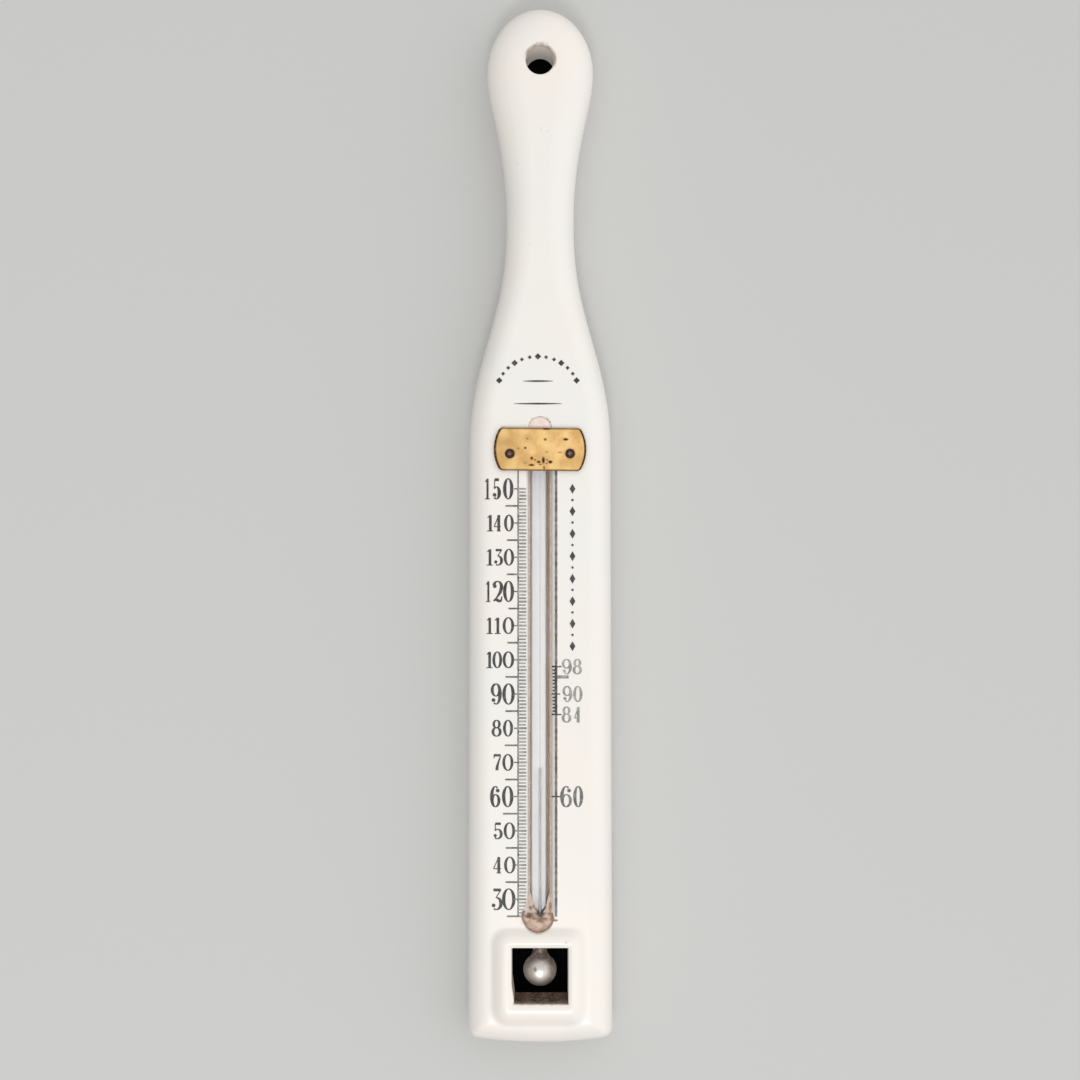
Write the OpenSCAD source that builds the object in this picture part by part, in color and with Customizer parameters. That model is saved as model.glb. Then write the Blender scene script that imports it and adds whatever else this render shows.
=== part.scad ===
// Pottery thermometer: a glazed paddle with a hanging hole, a mercury tube bedded in a groove down its
// front, a brass clip over the top of the tube and a window round the bulb.
// X is to the right, Z is up and the front faces -Y. The origin is on the axis of the hanging hole, in the
// plane of the flat back. A size called a drop runs down from that axis.

/* [Pottery body] */
// Height of the head above the axis of the hanging hole
head_rise = 16.4; // [14:0.2:20]
// Width of the head at its widest
head_w = 31.4; // [28:0.2:36]
// Drop to the widest part of the head
head_drop = 2.5; // [1:0.1:5]
// Width of the handle at its narrowest
neck_w = 20; // [18:0.2:26]
// Drop to the narrowest part of the handle
neck_drop = 45.5; // [40:0.5:60]
// Drop to the line where the shoulders end and the body begins
shoulder_drop = 117.5; // [105:0.5:130]
// Width of the body just below the shoulders
shoulder_w = 41.8; // [38:0.2:48]
// Width of the body at its foot
foot_w = 42.8; // [38:0.2:48]
// Height of the foot, from the window down to the lowest point
foot_h = 12.8; // [11:0.2:20]
// Radius of the shallow curve along the bottom edge
foot_curve_r = 136; // [90:1:300]
// Radius of the two bottom corners
foot_corner_r = 3.5; // [2:0.1:6]
// Thickness of the body
body_t = 16; // [14:0.2:20]
// How far the front's soft edge reaches in from the side of the body
edge_w = 7; // [4:0.2:8]
// How far it reaches in from the side of the handle
handle_edge_w = 8; // [5:0.2:8.4]
// How deep the front's soft edge runs towards the back
edge_depth = 7; // [4:0.2:9]
// Radius of the small edge round the back
back_edge_r = 3; // [1:0.2:4]

/* [Hanging hole] */
// Diameter of the hanging hole
hole_d = 8.4; // [6:0.1:10]
// Flat land left on the head round the hanging hole
hole_land = 0.5; // [0.3:0.1:2]

/* [Window round the bulb] */
// Width of the window
window_w = 16.5; // [14:0.1:20]
// Height of the window
window_h = 16.3; // [15.6:0.1:20]
// Width of the raised rim round the window
rim_w = 6.2; // [4:0.1:8]
// Height of the raised rim above the front
rim_h = 2.5; // [1:0.1:4]
// Radius of the rim's outer corners
rim_corner_r = 4; // [2:0.1:6]
// Pottery left between the end of the groove and the window
bridge_h = 4.1; // [3:0.1:6]

/* [Groove] */
// Width of the groove that the stem is bedded in
groove_w = 7.8; // [7.4:0.1:9.2]
// Diameter of the round pocket at the top of the groove
top_pocket_d = 6.2; // [5:0.1:8]
// Diameter of the round pocket at the bottom of the groove
foot_pocket_d = 9; // [8:0.1:12]
// Diameter of the passage from the groove into the window
passage_d = 7; // [6.6:0.1:7.6]

/* [Glass tube] */
// Diameter of the stem
stem_d = 6.4; // [5.4:0.1:6.5]
// Gap between the front of the stem and the plane of the front
stem_gap = 0.1; // [0.05:0.05:0.6]
// Diameter of the narrow neck above the bulb
neck_glass_d = 4.2; // [3.4:0.1:5]
// Diameter of the bulb
bulb_d = 9.8; // [8.4:0.1:10.2]
// Drop from the top of the window to the middle of the bulb
bulb_hang = 7; // [6:0.1:7.4]
// Thickness of the glass round the bulb
bulb_wall = 0.6; // [0.4:0.1:1]
// Radius of the curve between bulb and neck
flare_r = 3; // [2:0.1:3.6]
// Diameter of the bore in the stem
bore_d = 0.5; // [0.3:0.05:0.8]
// Diameter of the safety chamber at the top of the bore
chamber_d = 1.6; // [1:0.1:2.4]
// Length of the safety chamber
chamber_l = 4; // [2:0.5:5]
// Height of the stem's top end above the middle of the clip
stem_rise = 2.6; // [1:0.1:4]
// Width of the opal strip fused into the back of the stem
opal_w = 2.3; // [1.5:0.1:3]
// Thickness of the opal strip
opal_t = 0.5; // [0.3:0.1:0.8]
// Distance from the middle of the stem back to the opal strip
opal_back = 0.9; // [0.6:0.1:1.3]
// Distance that the opal strip lies to the right of the middle
opal_x = -0.2; // [-0.4:0.1:0.4]

/* [Mercury] */
// Gap round the mercury column in its bore
column_gap = 0.03; // [0.01:0.01:0.06]
// Temperature that the column stands at, in degrees Fahrenheit
shown_f = 68; // [35:1:145]

/* [Scale] */
// Length of one degree Fahrenheit on the scale
degree_h = 1; // [0.9:0.01:1.15]
// Highest mark, in degrees Fahrenheit
top_f = 150; // [120:10:160]
// Lowest mark, in degrees Fahrenheit
bottom_f = 25; // [15:10:25]
// Drop from the lower edge of the clip to the highest mark
scale_gap = 5.25; // [4:0.25:10]
// Distance from the edge of the groove to the line on the left
left_line_gap = 2.5; // [1.8:0.1:3]
// Distance from the edge of the groove to the line on the right
right_line_gap = 0.7; // [0.6:0.1:1]
// Width of the line on the left
left_line_w = 0.3; // [0.2:0.05:0.6]
// Width of the line on the right
right_line_w = 0.7; // [0.3:0.05:0.9]
// Width of the mark at every degree
degree_w = 0.25; // [0.15:0.05:0.4]
// Width of the marks at every five degrees
five_w = 0.4; // [0.2:0.05:0.5]
// Thickness of the fired print
print_t = 0.05; // [0.04:0.01:0.1]
// Length of the outer mark at every odd five degrees
five_l = 3.9; // [2:0.1:4.5]
// Length of the outer mark at every ten degrees
ten_l = 1.1; // [0.5:0.1:2]
// Lowest of the close marks on the right, in degrees Fahrenheit
close_from_f = 84; // [80:1:88]
// Highest of the close marks on the right, in degrees Fahrenheit
close_to_f = 98; // [96:1:110]
// Mark on the right that runs out longest, in degrees Fahrenheit
lone_f = 95; // [91:1:97]
// Length of that mark
lone_l = 3.7; // [2:0.1:5]
// Width of that mark
lone_w = 0.6; // [0.3:0.05:0.8]
// Length of the marks that lead to the numbers on the right
label_l = 1.5; // [1:0.1:2]

/* [Clip and pins] */
// Height of the middle of the clip above the line where the shoulders end
clip_rise = 3.5; // [0:0.5:6]
// Length of the clip across the body
clip_l = 27; // [24:0.2:30]
// Height of the clip
clip_h = 12.5; // [10:0.1:14]
// Thickness of the clip
clip_t = 1; // [0.6:0.1:1.6]
// Radius of the clip's rounded ends
clip_end_r = 11.8; // [9:0.1:20]
// Distance from the middle of one pin to the other
pin_span = 17.6; // [15.6:0.1:20]
// Distance of the pins below the middle of the clip
pin_low = 1.25; // [0:0.05:2]
// Diameter of the pin's shank
pin_d = 1.6; // [1.2:0.1:2]
// Length of the pin below its head
pin_l = 9; // [6:0.5:10]
// Diameter of the pin's head
pin_head_d = 2.8; // [2.6:0.1:3.4]
// Height of the pin's head
pin_head_h = 0.6; // [0.4:0.1:1]
// Diameter of the wooden plug that takes the pin
plug_d = 4; // [3:0.1:4.6]
// Length of the wooden plug
plug_l = 9.5; // [9:0.5:11]

/* [Hidden] */

$fn = 64;
HEAD_STEPS = 28;
CURVE_STEPS = 26;
STRAIGHT_STEPS = 10;
CORNER_STEPS = 5;
BOTTOM_STEPS = 4;
EDGE_STEPS = 7;
RIM_STEPS = 8;
BACK_STEPS = 3;
GROOVE_STEPS = 16;
GLASS_STEPS = 20;

// Clearances and shapes
cut = 1;                  // how far a cut runs past a face
pin_gap = 0.1;            // gap round a pin in the clip
least_flat = 0.5;         // flat left down the middle of the front
least_corner_r = 1.2;     // bottom corner's radius on the flat of the front
TAPER_AT = 0.35;          // share of the way from head to neck where the handle narrows fastest
TAPER_DONE = 0.43;        // share of the narrowing done by then
TAPER_SLOPE = 1.64;       // slope there, over the mean slope
LIP = 0.6;                // height of the rim at the window, over the height of its crest
CREST = 0.375;            // place of the crest, over the width of the rim
rim_root = 0.6;           // how deep the rim runs into the body
heavy_w = 0.6;            // width of the second line, where the close marks stand
lip_gap = 0.4;            // bare glaze between the left marks and the edge of the groove
near_gap = 0.05;          // bare glaze between the right marks and the edge of the groove
end_wall = 2;             // glass between the chamber and the end of the stem
neck_wall = 0.9;          // glass round the mercury in the neck
neck_run = 4;             // length of the straight neck
taper_run = 6;            // length of the taper from the neck up to the stem
funnel_start = 1.5;       // straight mercury above the flare, before it narrows to the bore
funnel_run = 2.5;         // length of the cone in which the mercury narrows to the bore
bore_lap = 0.2;           // how far the cut of the bore reaches into the cone
chamber_cone = 1;         // length of the cone between bore and chamber
opal_end = 1;             // gap between the taper of the neck and the opal strip
plaster_sink = 0.02;      // clearance of the plaster below the plane of the front
bed_sink = 3;             // depth of the bedding's surface beside the stem
bed_end = 2;              // how far below the end of the stem the bedding stops
pocket_lap = 1.5;         // how far the groove starts below the middle of the top pocket
mark_to_pocket = 0.4;     // drop from the lowest mark to the middle of the foot pocket

// The numbers on the right stand at these marks, and those that cross the line are true
LABELLED = [[60, true], [close_from_f, true], [90, false], [close_to_f, false]];

// Places down the body
clip_drop = shoulder_drop - clip_rise;
top_mark_drop = clip_drop + clip_h / 2 + scale_gap;
bottom_mark_drop = top_mark_drop + (top_f - bottom_f) * degree_h;
foot_pocket_drop = bottom_mark_drop + mark_to_pocket;
window_drop = foot_pocket_drop + foot_pocket_d / 2 + bridge_h;
foot_drop = window_drop + window_h + foot_h;
bulb_z = -window_drop - bulb_hang;
window_z = -window_drop - window_h / 2;
stem_top_z = -clip_drop + stem_rise;
front_y = -body_t;
stem_y = front_y + stem_gap + stem_d / 2;
groove_bottom_y = stem_y + groove_w / 2;
top_pocket_z = -clip_drop + clip_h / 2;
groove_top_z = top_pocket_z - pocket_lap;
bed_top_z = stem_top_z - bed_end;
pin_z = -clip_drop - pin_low;
left_line_x = -groove_w / 2 - left_line_gap;
right_line_x = groove_w / 2 + right_line_gap;
line_foot_z = -bottom_mark_drop - degree_w / 2;
line_top_z = -clip_drop - clip_h / 2;
head_edge_w = head_w / 2 - hole_d / 2 - hole_land;
taper_drop = mix(head_drop, neck_drop, TAPER_AT);
body_length = head_rise + foot_drop;

// Places in the glass
bulb_in_r = bulb_d / 2 - bulb_wall;
neck_in_r = neck_glass_d / 2 - neck_wall;
flare_in_r = flare_r + bulb_wall;
neck_top_z = bulb_z + flare_rise(bulb_d / 2, neck_glass_d / 2, flare_r) + neck_run;
taper_top_z = neck_top_z + taper_run;
funnel_z = bulb_z + flare_rise(bulb_in_r, neck_in_r, flare_in_r) + funnel_start;
column_z = funnel_z + funnel_run;
chamber_z = stem_top_z - end_wall - chamber_l;
column_top_z = mark_z(shown_f);

echo(str("length ", body_length, " mm, mercury level z ", column_top_z, ", foot of the column z ", column_z,
    ", lowest mark z ", mark_z(bottom_f), ", highest mark z ", mark_z(top_f), ", bulb z ", bulb_z,
    ", window z ", -window_drop, " to ", -window_drop - window_h, ", foot z ", -foot_drop, ", stem y ", stem_y));

function mix(a, b, t) = a + (b - a) * t;
function ease(t) = t * t * t * (t * (6 * t - 15) + 10);
function soft(t) = t * t * (3 - 2 * t);
function hermite(t, from, from_slope, to, to_slope) =
    mix(from, to, soft(t)) + t * (1 - t) * ((1 - t) * from_slope - t * to_slope);
function arc(x, z, r, from, to, steps) =
    [for (i = [0:steps]) let (a = mix(from, to, i / steps)) [x + r * cos(a), z + r * sin(a)]];
function mark_z(f) = -top_mark_drop - (top_f - f) * degree_h;

// Half the width of the body at a drop
function half_w(d) =
    let (head = head_w / 2, neck = neck_w / 2, fall = TAPER_SLOPE * (neck - head),
         taper = mix(head, neck, TAPER_DONE))
    d < taper_drop ? hermite((d - head_drop) / (taper_drop - head_drop), head, 0, taper, fall * TAPER_AT)
    : d < neck_drop ? hermite((d - taper_drop) / (neck_drop - taper_drop), taper, fall * (1 - TAPER_AT), neck, 0)
    : mix(neck, shoulder_w / 2, ease((d - neck_drop) / (shoulder_drop - neck_drop)));

// Width of the front's soft edge at a drop
function edge_at(d) = min(half_w(d) - least_flat,
    d < neck_drop ? mix(head_edge_w, handle_edge_w, soft((d - head_drop) / (neck_drop - head_drop)))
    : mix(handle_edge_w, edge_w, soft((d - neck_drop) / (shoulder_drop - neck_drop))));

// Right half of the body's outline from the bottom up, drawn in by a share of the front's soft edge and by
// an even amount
function right_side(share, even) =
    let (inset = share * edge_w + even, corner = max(foot_corner_r - inset, least_corner_r),
         curve_z = foot_curve_r - foot_drop, corner_x = foot_w / 2 - inset - corner,
         reach = foot_curve_r - inset - corner, corner_z = curve_z - sqrt(reach * reach - corner_x * corner_x),
         turn = atan2(corner_z - curve_z, corner_x))
    concat(
        [for (i = [0:BOTTOM_STEPS - 1]) let (a = mix(-90, turn, i / BOTTOM_STEPS))
            [(foot_curve_r - inset) * cos(a), curve_z + (foot_curve_r - inset) * sin(a)]],
        arc(corner_x, corner_z, corner, turn, 0, CORNER_STEPS),
        [for (i = [1:STRAIGHT_STEPS - 1]) let (t = i / STRAIGHT_STEPS)
            [mix(corner_x + corner, shoulder_w / 2 - inset, t), mix(corner_z, -shoulder_drop, t)]],
        [for (i = [0:CURVE_STEPS - 1]) let (d = mix(shoulder_drop, head_drop, i / CURVE_STEPS))
            [half_w(d) - share * edge_at(d) - even, -d]]
    );

// The whole outline at one depth, turning left as seen from the front
function ring(share, even, y) =
    let (right = right_side(share, even), last = len(right) - 1, inset = share * head_edge_w + even)
    concat(
        [for (p = right) [p.x, y, p.y]],
        [for (i = [0:HEAD_STEPS]) let (a = 180 * i / HEAD_STEPS)
            [(head_w / 2 - inset) * cos(a), y, (head_rise + head_drop - inset) * sin(a) - head_drop]],
        [for (i = [0:last - 1]) let (p = right[last - i]) [-p.x, y, p.y]]
    );

// Rungs across a flat ring whose point i lies opposite its point n - i
function rungs(n) = concat(
    [[0, 1, n - 1], [n / 2 - 1, n / 2, n / 2 + 1]],
    [for (i = [1:n / 2 - 2]) each [[i, i + 1, n - i - 1], [i, n - i - 1, n - i]]]
);

// A closed skin over rings that lie one in front of another
module skin(rings) {
    n = len(rings[0]);
    last = n * (len(rings) - 1);
    polyhedron(
        points = [for (r = rings) for (p = r) p],
        faces = concat(
            rungs(n),
            [for (k = [0:len(rings) - 2]) for (i = [0:n - 1]) let (j = (i + 1) % n)
                each [[(k + 1) * n + i, (k + 1) * n + j, k * n + j], [(k + 1) * n + i, k * n + j, k * n + i]]],
            [for (f = rungs(n)) [last + f[2], last + f[1], last + f[0]]]
        ),
        convexity = 4
    );
}

module paddle() {
    skin(concat(
        [for (i = [0:BACK_STEPS]) let (a = 90 * i / BACK_STEPS)
            ring(0, back_edge_r * (1 - sin(a)), -back_edge_r * (1 - cos(a)))],
        [for (i = [0:EDGE_STEPS]) let (a = 90 * i / EDGE_STEPS)
            ring(1 - cos(a), 0, front_y + edge_depth * (1 - sin(a)))]
    ));
}

// A rounded rectangle round the window, out from its edge and at a height above the front
function rim_ring(out, height) =
    let (r = max(rim_corner_r - rim_w + out, least_corner_r), x = window_w / 2 + out - r, z = window_h / 2 + out - r)
    [for (q = [[1, -1, -90], [1, 1, 0], [-1, 1, 90], [-1, -1, 180]])
        for (p = arc(q[0] * x, window_z + q[1] * z, r, q[2], q[2] + 90, CORNER_STEPS)) [p.x, front_y - height, p.y]];

function rim_height(t) = t < CREST ? mix(1, LIP, pow(1 - t / CREST, 2)) : 1 - soft((t - CREST) / (1 - CREST));

module rim() {
    skin(concat(
        [rim_ring(rim_w, -rim_root)],
        [for (i = [RIM_STEPS:-1:0]) let (t = i / RIM_STEPS) rim_ring(rim_w * t, rim_h * rim_height(t))]
    ));
}

// Upright solids of the stem's section, and rods that run from front to back
module upright(from_z, to_z) {
    translate([0, stem_y, from_z]) linear_extrude(to_z - from_z) children();
}
module rod(x, z, d, from_y, to_y) {
    translate([x, to_y, z]) rotate([90, 0, 0]) cylinder(d = d, h = to_y - from_y);
}
module stem_space(from_z, to_z) {
    translate([0, stem_y, from_z]) cylinder(d = stem_d, h = to_z - from_z);
}
module groove_section(open_y) {
    polygon(concat([[-groove_w / 2, open_y]], [for (p = arc(0, 0, groove_w / 2, 180, 0, GROOVE_STEPS)) p],
        [[groove_w / 2, open_y]]));
}

module pottery_body() {
    color("ivory") difference() {
        union() {
            paddle();
            rim();
        }
        rod(0, 0, hole_d, front_y - cut, cut);
        upright(-foot_pocket_drop, groove_top_z) groove_section(-stem_d);
        rod(0, top_pocket_z, top_pocket_d, front_y - cut, groove_bottom_y);
        rod(0, -foot_pocket_drop, foot_pocket_d, front_y - rim_h - cut, groove_bottom_y);
        translate([0, stem_y, -window_drop - cut]) cylinder(d = passage_d, h = bridge_h + foot_pocket_d / 2 + cut);
        translate([-window_w / 2, front_y - rim_h - cut, -window_drop - window_h])
            cube([window_w, body_t + rim_h + 2 * cut, window_h]);
        for (side = [-1, 1]) rod(side * pin_span / 2, pin_z, plug_d, front_y - cut, front_y + plug_l);
    }
}

// How far above a ball's middle the curve that joins it to a neck meets the neck
function flare_rise(ball, neck, flare) = sqrt(pow(ball + flare, 2) - pow(neck + flare, 2));

// Half section of a ball that flares into a neck, from its lowest point up
function bulb_section(ball, neck, flare) =
    let (rise = flare_rise(ball, neck, flare), turn = atan2(rise, neck + flare))
    concat(
        arc(0, bulb_z, ball, -90, turn, GLASS_STEPS),
        [for (i = [1:GLASS_STEPS / 2]) let (a = mix(180 + turn, 180, i / (GLASS_STEPS / 2)))
            [neck + flare + flare * cos(a), bulb_z + rise + flare * sin(a)]]
    );

module turned(section) {
    translate([0, stem_y, 0]) rotate_extrude() polygon(section);
}

// Outside of the glass tube
function glass_section() = concat(
    bulb_section(bulb_d / 2, neck_glass_d / 2, flare_r),
    [[neck_glass_d / 2, neck_top_z], [stem_d / 2, taper_top_z]],
    arc(0, stem_top_z - stem_d / 2, stem_d / 2, 0, 90, GLASS_STEPS / 2)
);

// Mercury in the bulb and the neck, up to the foot of the bore
function reservoir_section() = concat(
    bulb_section(bulb_in_r, neck_in_r, flare_in_r),
    [[neck_in_r, funnel_z], [bore_d / 2, column_z], [0, column_z]]
);

// The bore and its safety chamber
function bore_section() = [
    [0, column_z - bore_lap], [bore_d / 2, column_z - bore_lap], [bore_d / 2, chamber_z - chamber_cone],
    [chamber_d / 2, chamber_z], [chamber_d / 2, chamber_z + chamber_l - chamber_cone],
    [0, chamber_z + chamber_l],
];

module opal_bar() {
    from_z = taper_top_z + opal_end;
    translate([opal_x - opal_w / 2, stem_y + opal_back, from_z])
        cube([opal_w, opal_t, stem_top_z - stem_d / 2 - from_z]);
}

module glass_tube() {
    color("powderblue", 0.5) difference() {
        turned(glass_section());
        turned(reservoir_section());
        turned(bore_section());
        opal_bar();
    }
}

module opal_strip() {
    color("white") opal_bar();
}

module mercury_reservoir() {
    color("silver") turned(reservoir_section());
}

module mercury_column() {
    color("silver") translate([0, stem_y, column_z])
        cylinder(d = bore_d - 2 * column_gap, h = column_top_z - column_z);
}

module stem_bedding() {
    color("tan") difference() {
        upright(-foot_pocket_drop, bed_top_z) groove_section(stem_gap + bed_sink - stem_d / 2);
        stem_space(-foot_pocket_drop - cut, bed_top_z + cut);
        rod(0, -foot_pocket_drop, foot_pocket_d, front_y - cut, groove_bottom_y + cut);
    }
}

module top_plaster() {
    color("rosybrown") difference() {
        intersection() {
            union() {
                rod(0, top_pocket_z, top_pocket_d, front_y - cut, groove_bottom_y);
                upright(bed_top_z, groove_top_z) groove_section(-stem_d);
            }
            translate([-groove_w, front_y + plaster_sink, bed_top_z])
                cube([2 * groove_w, body_t, top_pocket_z + top_pocket_d - bed_top_z]);
        }
        turned(glass_section());
    }
}

module foot_plaster() {
    color("rosybrown") difference() {
        union() {
            rod(0, -foot_pocket_drop, foot_pocket_d, front_y + plaster_sink, groove_bottom_y);
            translate([0, stem_y, -window_drop]) cylinder(d = passage_d, h = bridge_h + foot_pocket_d / 2);
        }
        turned(glass_section());
    }
}

module brass_clip() {
    half = clip_h / 2;
    swing = asin(half / clip_end_r);
    end_x = clip_l / 2 - clip_end_r;
    color("goldenrod") difference() {
        translate([0, front_y, -clip_drop]) rotate([90, 0, 0]) linear_extrude(clip_t)
            polygon(concat(arc(end_x, 0, clip_end_r, -swing, swing, GROOVE_STEPS),
                arc(-end_x, 0, clip_end_r, 180 - swing, 180 + swing, GROOVE_STEPS)));
        for (side = [-1, 1]) rod(side * pin_span / 2, pin_z, pin_d + 2 * pin_gap, front_y - clip_t - cut, front_y + cut);
    }
}

// A round-headed pin, head to the front
module clip_pin(side) {
    bow = (pow(pin_head_d / 2, 2) + pow(pin_head_h, 2)) / (2 * pin_head_h);
    swing = acos(1 - pin_head_h / bow);
    color("saddlebrown") translate([side * pin_span / 2, front_y - clip_t, pin_z]) rotate([90, 0, 0])
        rotate_extrude() polygon(concat(
            [[0, -pin_l], [pin_d / 2, -pin_l + pin_d], [pin_d / 2, 0]],
            arc(0, pin_head_h - bow, bow, 90 - swing, 90, CORNER_STEPS)));
}

module pin_plug(side) {
    color("peru") difference() {
        rod(side * pin_span / 2, pin_z, plug_d, front_y, front_y + plug_l);
        translate([side * pin_span / 2, front_y - clip_t, pin_z]) rotate([90, 0, 0])
            rotate_extrude() polygon([[0, -pin_l], [pin_d / 2, -pin_l + pin_d], [pin_d / 2, 0], [0, 0]]);
    }
}

// A printed bar on the front, between two places across and at a height
module bar(from_x, to_x, z, w) {
    translate([from_x, front_y - print_t, z - w / 2]) cube([to_x - from_x, print_t, w]);
}
module line(x, w, from_z, to_z) {
    translate([x - w / 2, front_y - print_t, from_z]) cube([w, print_t, to_z - from_z]);
}

module left_graduations() {
    inner = -groove_w / 2 - lip_gap;
    color("dimgray") {
        line(left_line_x, left_line_w, line_foot_z, line_top_z);
        for (f = [bottom_f:top_f]) bar(left_line_x, inner, mark_z(f), degree_w);
        for (f = [ceil(bottom_f / 5) * 5:5:top_f])
            bar(left_line_x - (f % 10 == 0 ? ten_l : five_l), left_line_x, mark_z(f), five_w);
    }
}

module right_graduations() {
    inner = groove_w / 2 + near_gap;
    color("dimgray") {
        line(right_line_x, right_line_w, line_foot_z, line_top_z);
        line(inner + heavy_w / 2, heavy_w, mark_z(close_from_f), mark_z(close_to_f));
        for (f = [close_from_f:close_to_f]) bar(inner, right_line_x + right_line_w / 2, mark_z(f), degree_w);
        for (m = LABELLED) bar(m[1] ? inner : right_line_x, right_line_x + label_l, mark_z(m[0]), five_w);
        bar(right_line_x, right_line_x + lone_l, mark_z(lone_f), lone_w);
    }
}

pottery_body();
glass_tube();
opal_strip();
mercury_reservoir();
mercury_column();
stem_bedding();
top_plaster();
foot_plaster();
brass_clip();
clip_pin(-1);  // clip_pin_left
clip_pin(1);  // clip_pin_right
pin_plug(-1);  // pin_plug_left
pin_plug(1);  // pin_plug_right
left_graduations();
right_graduations();
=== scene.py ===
"""A pottery dairy thermometer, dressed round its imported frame.

Sizes are in millimetres and become metres where a mesh is made. X is to the right, Z is up and the front
faces -Y. The origin is on the axis of the hanging hole, in the plane of the flat back. A drop runs down
from that axis, and a depth runs back from the plane of the front.
"""

import logging
import math
from contextlib import contextmanager
from dataclasses import dataclass, field
from enum import Enum
from typing import Callable, Iterator, Mapping, Sequence

import bmesh
import bpy
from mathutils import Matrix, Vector

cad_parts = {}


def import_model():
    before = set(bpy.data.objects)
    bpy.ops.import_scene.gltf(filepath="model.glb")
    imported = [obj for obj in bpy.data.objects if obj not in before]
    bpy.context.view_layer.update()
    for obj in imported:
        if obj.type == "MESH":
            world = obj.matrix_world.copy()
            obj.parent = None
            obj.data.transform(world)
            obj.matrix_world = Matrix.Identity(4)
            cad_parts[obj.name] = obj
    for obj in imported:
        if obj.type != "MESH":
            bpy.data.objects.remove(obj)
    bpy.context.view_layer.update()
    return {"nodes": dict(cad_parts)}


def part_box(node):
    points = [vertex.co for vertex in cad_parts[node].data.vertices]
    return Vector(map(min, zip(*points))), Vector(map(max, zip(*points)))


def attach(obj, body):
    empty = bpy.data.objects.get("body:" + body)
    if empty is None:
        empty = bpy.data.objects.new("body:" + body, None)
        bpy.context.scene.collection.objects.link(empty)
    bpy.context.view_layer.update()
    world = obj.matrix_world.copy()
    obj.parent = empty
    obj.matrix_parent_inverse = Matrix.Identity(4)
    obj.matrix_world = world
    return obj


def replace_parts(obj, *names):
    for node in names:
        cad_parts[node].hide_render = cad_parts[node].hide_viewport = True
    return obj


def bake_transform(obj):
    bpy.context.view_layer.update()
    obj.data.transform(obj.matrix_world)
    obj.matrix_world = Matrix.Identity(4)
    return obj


LOG = logging.getLogger("thermometer")
MM = 0.001
FIXED = "thermometer"

Point = tuple[float, float]
Triple = tuple[float, float, float]
Quad = tuple[float, float, float, float]
Colour = Quad
Shown = tuple[int, int, int]
Rule = Callable[[int, int], Sequence[float]]
Piece = bpy.types.Object
Material = bpy.types.Material
Socket = bpy.types.NodeSocket
Inputs = Mapping[object, object]
Given = Mapping[str, object]


def linear(shown: Shown) -> Colour:
    """Turn a display colour of 0 to 255 into the linear colour, with a solid alpha, that shaders take."""
    parts = [value / 255 for value in shown]
    return (*(p / 12.92 if p <= 0.04045 else ((p + 0.055) / 1.055) ** 2.4 for p in parts), 1.0)


def mix(a: float, b: float, t: float) -> float:
    """Return the value a share t of the way from a to b."""
    return a + (b - a) * t


def held(value: float, low: float = 0.0, high: float = 1.0) -> float:
    """Return a value held between two others."""
    return min(max(value, low), high)


def soft(t: float) -> float:
    """Return t eased at both ends, held between 0 and 1."""
    t = held(t)
    return t * t * (3 - 2 * t)


def ease(t: float) -> float:
    """Return t eased more strongly at both ends."""
    return t**3 * (t * (6 * t - 15) + 10)


def ripple(size: float, *turns: float) -> float:
    """Return a wave's height: its size times the sines of the turns given."""
    return size * math.prod(math.sin(turn) for turn in turns)


def box_mm(node: str) -> tuple[Vector, Vector]:
    """Return a frame node's lowest and highest corner in millimetres."""
    low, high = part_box(node)
    return low / MM, high / MM


def deselect() -> None:
    """Leave no object selected."""
    bpy.ops.object.select_all(action="DESELECT")


def choose(*pieces: Piece) -> None:
    """Select pieces alone and make the first the active one."""
    deselect()
    for piece in pieces:
        piece.select_set(True)
    bpy.context.view_layer.objects.active = pieces[0]


class Part(Enum):
    """The parts of a mesh that edit mode selects."""

    POINTS = "VERT"
    EDGES = "EDGE"
    FACES = "FACE"


@contextmanager
def editing(piece: Piece, part: Part = Part.POINTS, whole: bool = False) -> Iterator[bmesh.types.BMesh]:
    """Open a piece in edit mode with all or nothing selected, and leave edit mode at the end.

    Args:
        piece: The mesh object to edit.
        part: The parts of the mesh that are selected from then on.
        whole: Whether the whole mesh is selected.

    Yields:
        The mesh under edit.
    """
    choose(piece)
    bpy.ops.object.mode_set(mode="EDIT")
    bpy.ops.mesh.select_mode(type="VERT")
    bpy.ops.mesh.select_all(action="SELECT" if whole else "DESELECT")
    bpy.ops.mesh.select_mode(type=part.value)
    yield bmesh.from_edit_mesh(piece.data)
    bpy.ops.object.mode_set(mode="OBJECT")


def tags(mesh: bmesh.types.BMesh, *names: str) -> list[bmesh.types.BMLayerItem]:
    """Return the layers that hold the tags of a mesh's points."""
    return [mesh.verts.layers.int[name] for name in names]


def named(name: str) -> Piece:
    """Name the object that an operator has just made, and return it."""
    piece = bpy.context.object
    piece.name = name
    piece.data.name = name
    return piece


def finish_with(piece: Piece, kind: str, **settings: object) -> None:
    """Add a modifier to a piece, set it and apply it.

    Args:
        piece: The mesh object.
        kind: The modifier's type.
        **settings: Values of the modifier's own settings.
    """
    modifier = piece.modifiers.new(kind.lower(), kind)
    for key, value in settings.items():
        setattr(modifier, key, value)
    choose(piece)
    bpy.ops.object.modifier_apply(modifier=modifier.name)


def smooth(piece: Piece, angle: float = 40) -> None:
    """Shade a piece smooth, apart from edges sharper than an angle in degrees."""
    choose(piece)
    bpy.ops.object.shade_smooth_by_angle(angle=math.radians(angle))


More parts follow.
